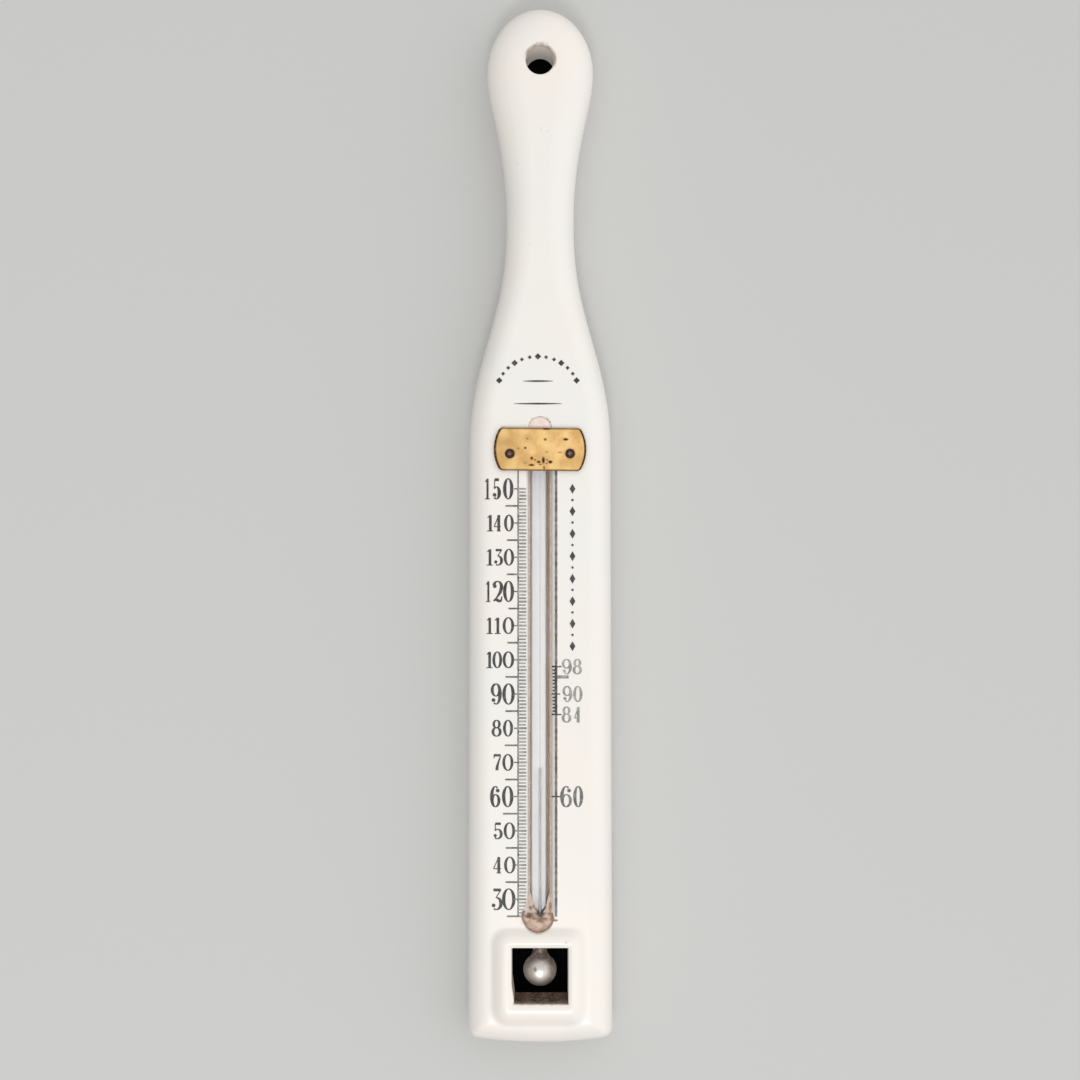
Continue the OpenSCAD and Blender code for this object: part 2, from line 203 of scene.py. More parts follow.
def merge(piece: Piece, reach: float = 0.0005) -> None:
    """Merge a piece's points that lie within a reach in millimetres, and turn its faces outwards."""
    with editing(piece, whole=True):
        bpy.ops.mesh.remove_doubles(threshold=reach * MM)
        bpy.ops.mesh.normals_make_consistent(inside=False)


def thicken(piece: Piece, depth: float) -> None:
    """Draw a sheet out along Y by a depth in millimetres, and turn its faces outwards."""
    with editing(piece, whole=True):
        bpy.ops.mesh.extrude_region_move(TRANSFORM_OT_translate={"value": (0, depth * MM, 0)})
        bpy.ops.mesh.select_all(action="SELECT")
        bpy.ops.mesh.normals_make_consistent(inside=False)


def joined(pieces: Sequence[Piece], name: str) -> Piece:
    """Join pieces into one object and name it.

    Args:
        pieces: The mesh objects to join.
        name: The joined piece's name.

    Returns:
        The joined object.
    """
    choose(*pieces)
    if len(pieces) > 1:
        bpy.ops.object.join()
    return named(name)


def reshape(piece: Piece, rule: Callable[[float, float, float], Sequence[float]]) -> None:
    """Move each point of a piece to where a rule puts it, both in millimetres."""
    for vertex in piece.data.vertices:
        vertex.co = Vector(rule(*(vertex.co / MM))) * MM


def woven(name: str, columns: int, rows: int, place: Rule) -> Piece:
    """Add a grid and put each of its points where a rule says.

    Args:
        name: The piece's name.
        columns: Number of faces across the grid.
        rows: Number of faces up the grid.
        place: Gives a point's place in millimetres from its column and its row.

    Returns:
        The new object.
    """
    deselect()
    bpy.ops.mesh.primitive_grid_add(x_subdivisions=columns, y_subdivisions=rows, size=2)
    piece = named(name)
    for vertex in piece.data.vertices:
        column = round((vertex.co.x + 1) / 2 * columns)
        row = round((vertex.co.y + 1) / 2 * rows)
        vertex.co = Vector(place(column, row)) * MM
    return piece


class Axis(Enum):
    """The line that a turned piece is turned round."""

    UP = "up"
    FORWARD = "forward"


def turned(
    name: str, section: Sequence[Point], centre: Point, axis: Axis = Axis.UP, steps: int = 64
) -> Piece:
    """Turn a half section round an axis.

    Args:
        name: The piece's name.
        section: Points of the half section, each a distance from the axis and a place along it.
        centre: The axis's place across it, X and Y where it runs up, X and Z where it runs forward.
        axis: The direction of the axis.
        steps: Number of faces round the axis.

    Returns:
        The new object.
    """

    def place(column: int, row: int) -> Sequence[float]:
        """Return the place of one point of the wrapped grid."""
        radius, along = section[row]
        angle = 2 * math.pi * column / steps
        a = centre[0] + radius * math.cos(angle)
        b = centre[1] + radius * math.sin(angle)
        return (a, b, along) if axis is Axis.UP else (a, along, b)

    piece = woven(name, steps, len(section) - 1, place)
    merge(piece)
    smooth(piece)
    return piece


def dress(piece: Piece, material: Material, body: str = FIXED) -> Piece:
    """Give a new piece its finish and the body that it rides on.

    Args:
        piece: The new mesh object.
        material: The finish.
        body: The body that the piece moves with, or an empty name where it is attached to none.

    Returns:
        The same object.
    """
    piece.data.materials.clear()
    piece.data.materials.append(material)
    if body:
        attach(piece, body)
    LOG.info("made %s, %d faces", piece.name, len(piece.data.polygons))
    return piece


def refinish(node: Piece, material: Material) -> None:
    """Give a frame node that stays in sight a better finish."""
    node.data.materials.clear()
    node.data.materials.append(material)
    LOG.info("finished %s", node.name)


def mark_grime(piece: Piece, rule: Callable[[float, float, float], float]) -> None:
    """Write each point's grime and painted shade, 0 to 1 by a rule of its place, for its finish to read."""
    layer = piece.data.attributes.new("grime", "FLOAT", "POINT")
    layer.data.foreach_set("value", [held(rule(*(vertex.co / MM))) for vertex in piece.data.vertices])


class Effect(Enum):
    """The effects that more than one finish uses, by the names of their groups."""

    MOTTLE = "mottle"
    PATCH = "patch"
    SPECKS = "specks"


class Shading:
    """Adds and joins the nodes of one material or one effect."""

    def __init__(self, tree: bpy.types.NodeTree) -> None:
        """Start on a tree, emptied first."""
        self.tree = tree
        tree.nodes.clear()

    def add(self, kind: str, inputs: Inputs | None = None, **settings: object) -> bpy.types.Node:
        """Add a node, set it, and fill its inputs.

        Args:
            kind: The node's type, without the ShaderNode in front.
            inputs: Values or other nodes' outputs, by the input's name or number.
            **settings: Values of the node's own settings.

        Returns:
            The new node.
        """
        node = self.tree.nodes.new("ShaderNode" + kind)
        for key, value in settings.items():
            setattr(node, key, value)
        for key, value in (inputs or {}).items():
            if isinstance(value, Socket):
                self.tree.links.new(value, node.inputs[key])
            else:
                node.inputs[key].default_value = value
        return node

    def calc(self, operation: str, *values: object) -> Socket:
        """Return the outcome of a sum on numbers or outputs."""
        return self.add("Math", dict(enumerate(values)), operation=operation).outputs[0]

    def vector(self, operation: str, a: object, b: object) -> Socket:
        """Return the outcome of a sum on two vectors."""
        return self.add("VectorMath", {0: a, 1: b}, operation=operation).outputs[0]

    def triple(self, x: object, y: object, z: object) -> Socket:
        """Return the vector of three numbers or outputs."""
        return self.add("CombineXYZ", {0: x, 1: y, 2: z}).outputs[0]

    def blended(self, share: object, a: object, b: object) -> Socket:
        """Return a colour a share of the way from one colour to another."""
        return self.add("Mix", {0: share, 6: a, 7: b}, data_type="RGBA").outputs[2]

    def either(self, share: object, a: bpy.types.Node, b: bpy.types.Node) -> Socket:
        """Return a shader a share of the way from one shader to another."""
        return self.add("MixShader", {0: share, 1: a.outputs[0], 2: b.outputs[0]}).outputs[0]

    def bump(self, height: object, distance: float) -> Socket:
        """Return the normal that a height roughens by a distance in millimetres."""
        inputs = {"Height": height, "Distance": distance * MM, "Strength": 1.0}
        return self.add("Bump", inputs).outputs[0]

    def ramp(self, value: object, low: object, high: object, start: float = 0, end: float = 1) -> Socket:
        """Return a value eased from start to end as it goes from low to high."""
        inputs = {0: value, 1: low, 2: high, 3: start, 4: end}
        return self.add("MapRange", inputs, interpolation_type="SMOOTHSTEP").outputs[0]

    def place(self) -> Socket:
        """Return the piece's own coordinates."""
        return self.add("TexCoord").outputs["Object"]

    def mask(self, effect: Effect, place: object, **numbers: float) -> Socket:
        """Place an effect, whose group is built the first time that it is asked for.

        Args:
            effect: The effect.
            place: The coordinates that it reads.
            **numbers: Its own numbers, by name. One that is left out is 1.

        Returns:
            The effect's mask.
        """
        group = bpy.data.node_groups.get(effect.value) or effect_group(effect)
        node = self.add("Group", {"Place": place, **numbers}, node_tree=group)
        return node.outputs["Mask"]


def new_material(name: str) -> tuple[Material, Shading]:
    """Return a new material and the shading of its emptied tree."""
    material = bpy.data.materials.new(name)
    material.use_nodes = True
    return material, Shading(material.node_tree)


def mottle(shading: Shading, given: Given) -> Socket:
    """Return a cloudy mask whose clouds are Size millimetres across, drawn out up by Stretch."""
    tall = shading.calc("DIVIDE", 1.0, given["Stretch"])
    place = shading.vector("MULTIPLY", given["Place"], shading.triple(1.0, 1.0, tall))
    scale = shading.calc("DIVIDE", 1 / MM, given["Size"])
    noise = shading.add("TexNoise", {"Vector": place, "Scale": scale, "Detail": 3.0})
    return shading.ramp(noise.outputs[0], given["Low"], given["High"])


def patch(shading: Shading, given: Given) -> Socket:
    """Return a mask that is full at a place in millimetres and fades out to an oval's edge."""
    centre = shading.triple(given["X"], given["Y"], given["Z"])
    size = shading.triple(given["Wide"], given["Deep"], given["High"])
    scaled = shading.vector("MULTIPLY", given["Place"], (1 / MM, 1 / MM, 1 / MM))
    share = shading.vector("DIVIDE", shading.vector("SUBTRACT", scaled, centre), size)
    reach = shading.add("VectorMath", {0: share}, operation="LENGTH").outputs["Value"]
    return shading.ramp(reach, given["Core"], 1.0, 1.0, 0.0)


def specks(shading: Shading, given: Given) -> Socket:
    """Return a mask of small dots, Spacing millimetres apart, of which a Share are kept."""
    scale = shading.calc("DIVIDE", 1 / MM, given["Spacing"])
    cells = shading.add("TexVoronoi", {"Vector": given["Place"], "Scale": scale})
    away = shading.calc("MULTIPLY", cells.outputs["Distance"], given["Spacing"])
    dot = shading.ramp(away, 0.0, given["Reach"], 1.0, 0.0)
    pick = shading.add("SeparateXYZ", {0: cells.outputs["Color"]}).outputs[0]
    return shading.calc("MULTIPLY", dot, shading.calc("LESS_THAN", pick, given["Share"]))


EFFECTS: dict[Effect, tuple[Callable[[Shading, Given], Socket], tuple[str, ...]]] = {
    Effect.MOTTLE: (mottle, ("Size", "Low", "High", "Stretch")),
    Effect.PATCH: (patch, ("X", "Y", "Z", "Wide", "Deep", "High", "Core")),
    Effect.SPECKS: (specks, ("Spacing", "Reach", "Share")),
}


def effect_group(effect: Effect) -> bpy.types.NodeTree:
    """Return an effect's new group, with a place and numbers going in and a mask coming out."""
    build, numbers = EFFECTS[effect]
    tree = bpy.data.node_groups.new(effect.value, "ShaderNodeTree")
    tree.interface.new_socket("Place", in_out="INPUT", socket_type="NodeSocketVector")
    for name in numbers:
        socket = tree.interface.new_socket(name, in_out="INPUT", socket_type="NodeSocketFloat")
        socket.default_value = 1.0
    tree.interface.new_socket("Mask", in_out="OUTPUT", socket_type="NodeSocketFloat")
    shading = Shading(tree)
    source = tree.nodes.new("NodeGroupInput")
    given = {name: source.outputs[name] for name in ("Place", *numbers)}
    tree.links.new(build(shading, given), tree.nodes.new("NodeGroupOutput").inputs["Mask"])
    return tree


@dataclass(frozen=True)
class Patch:
    """A spot on a finish: its middle and its half sizes in millimetres, and how strongly it shows."""

    x: float
    z: float
    wide: float
    high: float
    strength: float
    y: float = -16.0
    deep: float = 6.0
    core: float = 0.3


@dataclass(frozen=True)
class Finish:
    """A finish clouded between two colours and darkened towards a third by stains and, on some pieces,
    painted shade.
    """

    name: str
    colour: Shown
    second: Shown
    stain: Shown
    roughness: float = 0.4
    rougher: float = 0.1
    metallic: float = 0.0
    clouds: float = 6.0
    cloud_edge: float = 0.12
    cloud_stretch: float = 1.0
    patches: tuple[Patch, ...] = ()
    specks: tuple[float, float, float] = (0.0, 0.0, 0.0)
    speck_strength: float = 0.5
    bump: float = 0.0
    bump_size: float = 0.5
    grime: float = 0.0
    worn_share: float = 0.55

    def _stains(self, shading: Shading, place: object) -> object:
        """Return the mask of the patches and of the grime and painted shade that the piece's points carry."""
        dirt_and_shade: object = 0.0
        for stain in self.patches:
            spot = shading.mask(
                Effect.PATCH, place, X=stain.x, Y=stain.y, Z=stain.z, Wide=stain.wide, Deep=stain.deep,
                High=stain.high, Core=stain.core,
            )
            dirt_and_shade = shading.calc("MAXIMUM", dirt_and_shade, shading.calc("MULTIPLY", spot, stain.strength))
        if self.grime:
            mark = shading.add("Attribute", attribute_name="grime").outputs["Fac"]
            dirt_and_shade = shading.calc("MAXIMUM", dirt_and_shade, shading.calc("MULTIPLY", mark, self.grime))
        worn = shading.mask(Effect.MOTTLE, place, Size=0.9, Low=0.25, High=0.6)
        return shading.calc("MULTIPLY", dirt_and_shade, shading.ramp(worn, 0.0, 1.0, self.worn_share, 1.0))

    def build(self) -> Material:
        """Return the new material."""
        material, shading = new_material(self.name)
        place = shading.place()
        low, high = 0.5 - self.cloud_edge, 0.5 + self.cloud_edge
        size, tall = self.clouds, self.cloud_stretch
        cloud = shading.mask(Effect.MOTTLE, place, Size=size, Low=low, High=high, Stretch=tall)
        colour, stain = shading.blended(cloud, linear(self.colour), linear(self.second)), linear(self.stain)
        if self.patches or self.grime:
            colour = shading.blended(self._stains(shading, place), colour, stain)
        spacing, reach, share = self.specks
        if share:
            dots = shading.mask(Effect.SPECKS, place, Spacing=spacing, Reach=reach, Share=share)
            colour = shading.blended(shading.calc("MULTIPLY", dots, self.speck_strength), colour, stain)
        rough = shading.ramp(cloud, 0.0, 1.0, self.roughness, self.roughness + self.rougher)
        inputs = {"Base Color": colour, "Roughness": rough, "Metallic": self.metallic}
        if self.bump:
            grain = shading.mask(Effect.MOTTLE, place, Size=self.bump_size, Low=0.0, High=1.0)
            inputs["Normal"] = shading.bump(grain, self.bump)
        shader = shading.add("BsdfPrincipled", inputs)
        shading.add("OutputMaterial", {"Surface": shader.outputs[0]})
        return material


@dataclass(frozen=True)
class ClearFinish:
    """Clear tube glass, uneven along its length, which lets light through to what lies in it."""

    name: str
    colour: Shown
    ior: float = 1.5
    roughness: float = 0.0
    uneven: float = 0.006
    uneven_size: float = 2.0
    uneven_stretch: float = 12.0

    def build(self) -> Material:
        """Return the new material."""
        material, shading = new_material(self.name)
        size, tall = self.uneven_size, self.uneven_stretch
        cord = shading.mask(Effect.MOTTLE, shading.place(), Size=size, Low=0.0, High=1.0, Stretch=tall)
        colour = linear(self.colour)
        inputs = {
            "Base Color": colour, "Roughness": self.roughness, "IOR": self.ior, "Transmission Weight": 1.0,
            "Normal": shading.bump(cord, self.uneven),
        }
        glass = shading.add("BsdfPrincipled", inputs)
        clear = shading.add("BsdfTransparent", {0: colour})
        shadow = shading.add("LightPath").outputs["Is Shadow Ray"]
        shading.add("OutputMaterial", {"Surface": shading.either(shadow, glass, clear)})
        return material


GLAZE = Finish(
    "cream_glaze", (234, 234, 231), (242, 233, 223), (104, 70, 48), roughness=0.24, rougher=0.0,
    clouds=38.0, cloud_edge=0.5, worn_share=0.8, specks=(9.0, 0.26, 0.1), speck_strength=0.22, grime=1.0,
    patches=(
        Patch(0.4, -20.2, 0.3, 1.2, 0.09), Patch(2.2, -20.9, 1.3, 0.3, 0.1),
        Patch(3.2, -22.3, 0.3, 0.9, 0.08), Patch(-6.7, -30.2, 1.2, 0.35, 0.09),
        Patch(-2.9, -53.9, 0.35, 0.9, 0.07), Patch(2.1, 4.7, 0.5, 0.35, 0.3),
        Patch(0.6, 5.2, 0.4, 0.25, 0.2), Patch(7.6, -257.8, 0.7, 0.5, 0.35),
        Patch(4.5, -251.7, 0.9, 0.45, 0.8, core=0.6),
    ),
)
PRINT = Finish(
    "fired_black", (44, 44, 43), (72, 72, 70), (205, 202, 195), roughness=0.35, clouds=1.6,
    specks=(0.55, 0.2, 0.16),
)
WORN_PRINT = Finish(
    "worn_black", (84, 84, 81), (126, 125, 120), (216, 213, 206), roughness=0.35, clouds=2.0,
    specks=(0.5, 0.2, 0.2),
)
FAINT_PRINT = Finish(
    "faint_black", (132, 132, 128), (166, 165, 160), (226, 223, 216), roughness=0.35, clouds=2.4,
    specks=(0.5, 0.2, 0.2),
)
BRASS = Finish(
    "tarnished_brass", (213, 170, 109), (238, 201, 138), (66, 40, 18), metallic=1.0, clouds=3.6,
    cloud_edge=0.2, grime=1.0, worn_share=0.85, bump=0.006, specks=(1.3, 0.2, 0.3), speck_strength=0.4,
    patches=(
        # The first patch, broad and faint, darkens the plate's left half: painted shade, for light that falls
        # more on the right.
        Patch(-13.0, -114.0, 14.0, 12.0, 0.2, core=0.0), Patch(7.5, -111.1, 1.2, 0.6, 1.0),
        Patch(1.5, -111.1, 0.7, 0.6, 0.8), Patch(-3.7, -110.9, 0.5, 0.5, 0.5),
        Patch(-4.3, -113.6, 0.55, 0.55, 1.0), Patch(-6.3, -113.7, 0.5, 0.4, 0.6),
        Patch(-2.4, -116.6, 0.65, 0.75, 1.0), Patch(-0.4, -117.7, 0.9, 0.6, 1.0),
        Patch(1.0, -117.2, 0.7, 1.5, 1.0), Patch(1.2, -119.4, 0.45, 0.9, 0.8),
        Patch(3.0, -117.7, 1.0, 0.75, 1.0), Patch(-1.4, -117.1, 0.55, 0.4, 0.8),
        Patch(2.1, -117.1, 0.45, 0.4, 0.8), Patch(1.9, -118.1, 0.5, 0.4, 0.7),
        Patch(0.1, -118.4, 0.8, 0.35, 0.7), Patch(-2.5, -118.6, 1.3, 0.5, 1.0),
        Patch(-4.3, -118.0, 0.8, 0.6, 0.35), Patch(5.8, -114.9, 1.0, 0.4, 0.5),
        Patch(2.0, -114.8, 0.5, 0.45, 0.5), Patch(1.9, -107.9, 2.4, 0.75, 1.0),
        Patch(-8.8, -115.25, 2.1, 2.1, 0.7, core=0.55), Patch(8.8, -115.25, 2.0, 2.0, 0.7, core=0.55),
    ),
)
FOOT_STAINS = (
    Patch(-3.2, -250.3, 2.0, 1.2, 0.95), Patch(-1.4, -251.1, 1.6, 0.7, 0.7),
    Patch(1.2, -251.2, 1.4, 0.6, 0.6), Patch(3.7, -250.6, 0.9, 2.2, 0.8),
    Patch(-3.0, -247.3, 0.9, 3.4, 0.6), Patch(3.0, -247.9, 0.9, 3.6, 0.9),
)
# Pin heads: the light colour at the middle is a painted highlight, and the dark ring round it is rust and
# painted shade.
IRON = Finish(
    "rusty_iron", (168, 122, 108), (120, 74, 58), (38, 19, 11), roughness=0.5, metallic=0.3,
    clouds=0.7, grime=1.0, worn_share=0.9, bump=0.05, bump_size=0.4, specks=(0.8, 0.3, 0.3),
)
BEDDING = Finish(
    "brown_bedding", (244, 232, 222), (232, 214, 200), (136, 102, 80), roughness=0.85, clouds=3.0,
    cloud_stretch=5.0, grime=0.5, bump=0.06, specks=(1.1, 0.3, 0.4), speck_strength=0.4,
    patches=FOOT_STAINS,
)
FOOT_PLASTER = Finish(
    "stained_plaster", (208, 184, 166), (180, 150, 130), (88, 58, 42), roughness=0.8, clouds=2.0,
    grime=0.95, bump=0.12, specks=(0.9, 0.28, 0.35), speck_strength=0.35, patches=FOOT_STAINS,
)
TOP_PLASTER = Finish(
    "pink_plaster", (244, 226, 218), (238, 216, 206), (224, 204, 196), roughness=0.7, clouds=1.4,
    grime=0.7, bump=0.04,
)
OPAL = Finish(
    "opal_glass", (253, 252, 252), (250, 248, 251), (220, 214, 210), roughness=0.3, clouds=20.0,
    cloud_stretch=3.0,
)
MERCURY = Finish(
    "bright_mercury", (222, 215, 210), (210, 203, 197), (88, 59, 43), rougher=0.04, metallic=1.0,
    clouds=2.4, grime=0.9,
    patches=(
        # A dark spot left of the middle: a painted reflection of the camera.
        Patch(-1.3, -265.9, 0.6, 0.9, 0.8, y=-17.0, deep=2.0),
    ),
)
THREAD = Finish(
    "thread_mercury", (208, 206, 210), (200, 198, 202), (160, 158, 160), roughness=0.35,
    metallic=1.0,
)
WOOD = Finish(
    "raw_wood", (196, 154, 108), (170, 126, 84), (110, 76, 48), roughness=0.8, clouds=1.0,
    cloud_stretch=8.0, bump=0.05, bump_size=0.4,
)
GLASS = ClearFinish("tube_glass", (254, 254, 254), roughness=0.12)


class Stretch(Enum):
    """The stretches of the paddle's outline, from the middle of the foot up to the top of the head."""

    FOOT = "foot"
    CORNER = "corner"
    SIDE = "side"
    HEAD = "head"


class Loop(Enum):
    """The open loops of the front sheet, each of which is drawn out to the back sheet."""

    BORDER = 1
    HOLE = 2
    WINDOW = 3


TAGS = ("column", "row", "ring", "loop")
SIDES = ("left", "right")


@dataclass
class Paddle:
    """The glazed pottery paddle: two sheets, joined round the border, the hole and the window."""

    head_rise: float = 16.4
    head_w: float = 31.4
    head_drop: float = 2.5
    neck_w: float = 20.0
    neck_drop: float = 45.5
    shoulder_drop: float = 117.5
    shoulder_w: float = 41.8
    foot_w: float = 42.8
    foot_h: float = 12.8
    foot_curve_r: float = 136.0
    foot_corner_r: float = 3.5
    least_corner_r: float = 1.2
    edge_w: float = 7.0
    handle_edge_w: float = 8.0
    head_edge_w: float = 11.0
    edge_depth: float = 7.0
    back_edge_r: float = 3.0
    hole_r: float = 4.2
    hole_lip: float = 0.45
    window_w: float = 16.5
    window_lip: float = 0.5
    rim_sides: Point = (6.0, 5.0)
    rim_ends: Point = (6.8, 5.6)
    rim_h: float = 2.5
    rim_crest: float = 0.26
    rim_at_window: float = 0.68
    rim_square: float = 2.6
    top_pocket_r: float = 3.1
    pocket_depth: float = 2.4
    slant: float = 0.7
    sheet_share: float = 0.5
    taper_at: float = 0.35
    taper_done: float = 0.43
    taper_slope: float = 1.64
    corner_steps: int = 3
    foot_steps: int = 15
    cap_steps: int = 5
    hole_steps: int = 26
    columns: tuple[float, ...] = (
        0, 0.9, 1.8, 2.6, 3.1, 3.4, 3.55, 3.7, 3.85, 4.0, 4.15, 4.3, 4.45, 4.7, 5.5, 6.5, 7.6, 8.75,
        9.0, 9.3, 9.7, 10.2, 10.8, 11.4, 12.1, 12.8, 13.5, 14.2, 14.9,
    )
    groove: tuple[Point, ...] = (
        (0, 7.3), (1.6, 7.0), (2.9, 6.1), (3.7, 4.8), (3.9, 3.6), (3.75, 2.7), (3.48, 2.1), (3.34, 1.7),
        (3.34, 1.35), (3.44, 0.98), (3.64, 0.58), (3.94, 0.22), (4.28, 0.04),
    )
    row_counts: tuple[int, ...] = (14, 9, 23, 60, 22, 56, 3)
    close_over_window: float = 2.7
    close_over_pocket: float = 5.5
    close_under_top: float = 6.0
    close_over_top: float = 4.5
    close_under_hole: float = 2.0
    rows_over_hole: tuple[float, ...] = (0.8, 1.6, 2.3)
    laid_from: float = -96.0
    laid_over: float = 10.0
    cap_share: float = 0.34
    edge_pull: int = 4
    halvings: int = 24
    rim_fall: float = 1.2
    pocket_shift: Point = (-0.5, 0.3)
    pocket_waves: tuple[Triple, ...] = ((0.06, 3, 0.8), (0.03, 7, 0))
    foot_lip: Point = (0.4, 0.55)
    head_lip: Point = (0.15, 0.35)
    groove_foot: float = 0.6
    groove_head: float = 1.2
    groove_fade: float = 1.4
    front_turns: tuple[float, ...] = (50, 40, 30, 20, 10, 0)
    back_turns: tuple[float, ...] = (90, 67.5, 45, 22.5, 0)
    lip_turns: tuple[float, ...] = (30, 60, 90)
    wall_depths: Point = (1.2, 4.5)
    slant_wide: float = 1.5
    slant_tall: float = 6.5
    slant_under: float = 2.0
    lip_band: float = 0.7
    rust: float = 0.55
    rust_wide: float = 0.9
    rust_deep: float = 1.1
    rust_turn: float = 1.2
    # Darkness of the window's lower wall near the front and deep in: a brown stain, deepened as painted
    # shade.
    wall_brown: Point = (0.62, 0.98)
    smear: Point = (0.12, 0.42)
    smear_x: Point = (3.7, 5.1)
    smear_tall: float = 9.0
    smear_beside: float = 0.9
    pocket_rim: float = 0.7
    pocket_rim_wide: float = 0.2

    def __post_init__(self) -> None:
        """Take the places that the frame gives and lay out the rows and the rings of the sheets."""
        low = box_mm("pottery_body")[0]
        pocket_low, pocket_high = box_mm("foot_plaster")
        self.foot_z = low.z
        self.front = low.y + self.rim_h
        self.window_top = pocket_low.z
        self.window_foot = self.foot_z + self.foot_h
        self.window_z = (self.window_top + self.window_foot) / 2
        self.window_half = (self.window_top - self.window_foot) / 2
        self.pocket_r = (pocket_high.x - pocket_low.x) / 2
        self.pocket_z = pocket_high.z - self.pocket_r
        self.top_pocket_z = box_mm("top_plaster")[1].z - self.top_pocket_r
        self.lip_x = self.columns[len(self.groove) - 1]
        self.reach = len(self.columns) - 1 + self.corner_steps
        self.first = self.foot_steps
        self.heights = self._heights()
        self.top = self.first + len(self.heights) - 1
        self.last = self.top + self.cap_steps
        self.window_column = self.columns.index(self.window_w / 2 + self.window_lip)
        self.rings = {
            Loop.BORDER: self._border_rings(),
            Loop.HOLE: self._wall_rings(self.hole_lip),
            Loop.WINDOW: self._wall_rings(self.window_lip),
        }

    def _heights(self) -> list[float]:
        """Return the heights of the sheets' straight rows, from below the window to above the hole."""
        above = self.window_top + self.window_lip
        radius = self.hole_r + self.hole_lip
        stops = [
            self.window_foot - self.window_lip, above, above + self.close_over_window,
            self.pocket_z + self.close_over_pocket, self.top_pocket_z - self.close_under_top,
            self.top_pocket_z + self.close_over_top, -radius - self.close_under_hole, -radius,
        ]
        runs = zip(stops, stops[1:], self.row_counts)
        heights = [mix(low, high, i / count) for low, high, count in runs for i in range(count)]
        hole_row = self.first + len(heights)
        self.window_rows = (self.first, self.first + self.row_counts[0])
        self.hole_rows = (hole_row, hole_row + self.hole_steps)
        turns = [math.pi * (i / self.hole_steps - 0.5) for i in range(self.hole_steps + 1)]
        heights += [radius * math.sin(turn) for turn in turns]
        return heights + [radius + rise for rise in self.rows_over_hole]

    def half_width(self, z: float) -> float:
        """Return half the paddle's width at a height."""
        drop = -z
        head, neck = self.head_w / 2, self.neck_w / 2
        taper_drop = mix(self.head_drop, self.neck_drop, self.taper_at)
        taper = mix(head, neck, self.taper_done)
        fall = self.taper_slope * (neck - head)
        if drop <= self.head_drop:
            return head
        if drop < taper_drop:
            t = (drop - self.head_drop) / (taper_drop - self.head_drop)
            return mix(head, taper, soft(t)) - t * t * (1 - t) * fall * self.taper_at
        if drop < self.neck_drop:
            t = (drop - taper_drop) / (self.neck_drop - taper_drop)
            return mix(taper, neck, soft(t)) + t * (1 - t) ** 2 * fall * (1 - self.taper_at)
        if drop < self.shoulder_drop:
            t = (drop - self.neck_drop) / (self.shoulder_drop - self.neck_drop)
            return mix(neck, self.shoulder_w / 2, ease(t))
        t = (drop - self.shoulder_drop) / (-self.foot_z - self.shoulder_drop)
        return mix(self.shoulder_w, self.foot_w, t) / 2

    def edge_width(self, z: float) -> float:
        """Return the width of the front's soft edge at a height."""
        if -z < self.neck_drop:
            t = (-z - self.head_drop) / (self.neck_drop - self.head_drop)
            return mix(self.head_edge_w, self.handle_edge_w, soft(t))
        t = (-z - self.neck_drop) / (self.shoulder_drop - self.neck_drop)
        return mix(self.handle_edge_w, self.edge_w, soft(t))

    def corner(self, share: float, even: float) -> Quad:
        """Return the drawn-in bottom corner's middle X and Z, its radius and the turn at which it starts."""
        inset = share * self.edge_w + even
        radius = max(self.foot_corner_r - inset, self.least_corner_r)
        curve_z = self.foot_z + self.foot_curve_r
        x = self.foot_w / 2 - inset - radius
        reach = self.foot_curve_r - inset - radius
        z = curve_z - math.sqrt(reach**2 - x**2)
        return x, z, radius, math.atan2(z - curve_z, x)

    def outline(self, stretch: Stretch, t: float, share: float, even: float) -> Point:
        """Return a point of the right half of the outline, drawn in.

        Args:
            stretch: The stretch that the point is on.
            t: Share of the foot's half or of the corner's turn, height on a side, or angle on the head.
            share: Share of the front's soft edge by which the outline is drawn in.
            even: Even distance by which it is drawn in as well.

        Returns:
            The point's X and Z.
        """
        if stretch is Stretch.SIDE:
            return self.half_width(t) - share * self.edge_width(t) - even, t
        if stretch is Stretch.HEAD:
            inset = share * self.head_edge_w + even
            x = (self.head_w / 2 - inset) * math.cos(t)
            return x, (self.head_rise + self.head_drop - inset) * math.sin(t) - self.head_drop
        x, z, radius, turn = self.corner(share, even)
        if stretch is Stretch.FOOT:
            angle = mix(-math.pi / 2, turn, t)
            sweep = self.foot_curve_r - share * self.edge_w - even
            return sweep * math.cos(angle), self.foot_z + self.foot_curve_r + sweep * math.sin(angle)
        angle = mix(turn, 0, t)
        return x + radius * math.cos(angle), z + radius * math.sin(angle)

    def head_angle(self, z: float) -> float:
        """Return the angle on the head at which the front sheet's border reaches a height."""
        rise = self.head_rise + self.head_drop - self.head_edge_w * self.sheet_share
        return math.asin((z + self.head_drop) / rise)

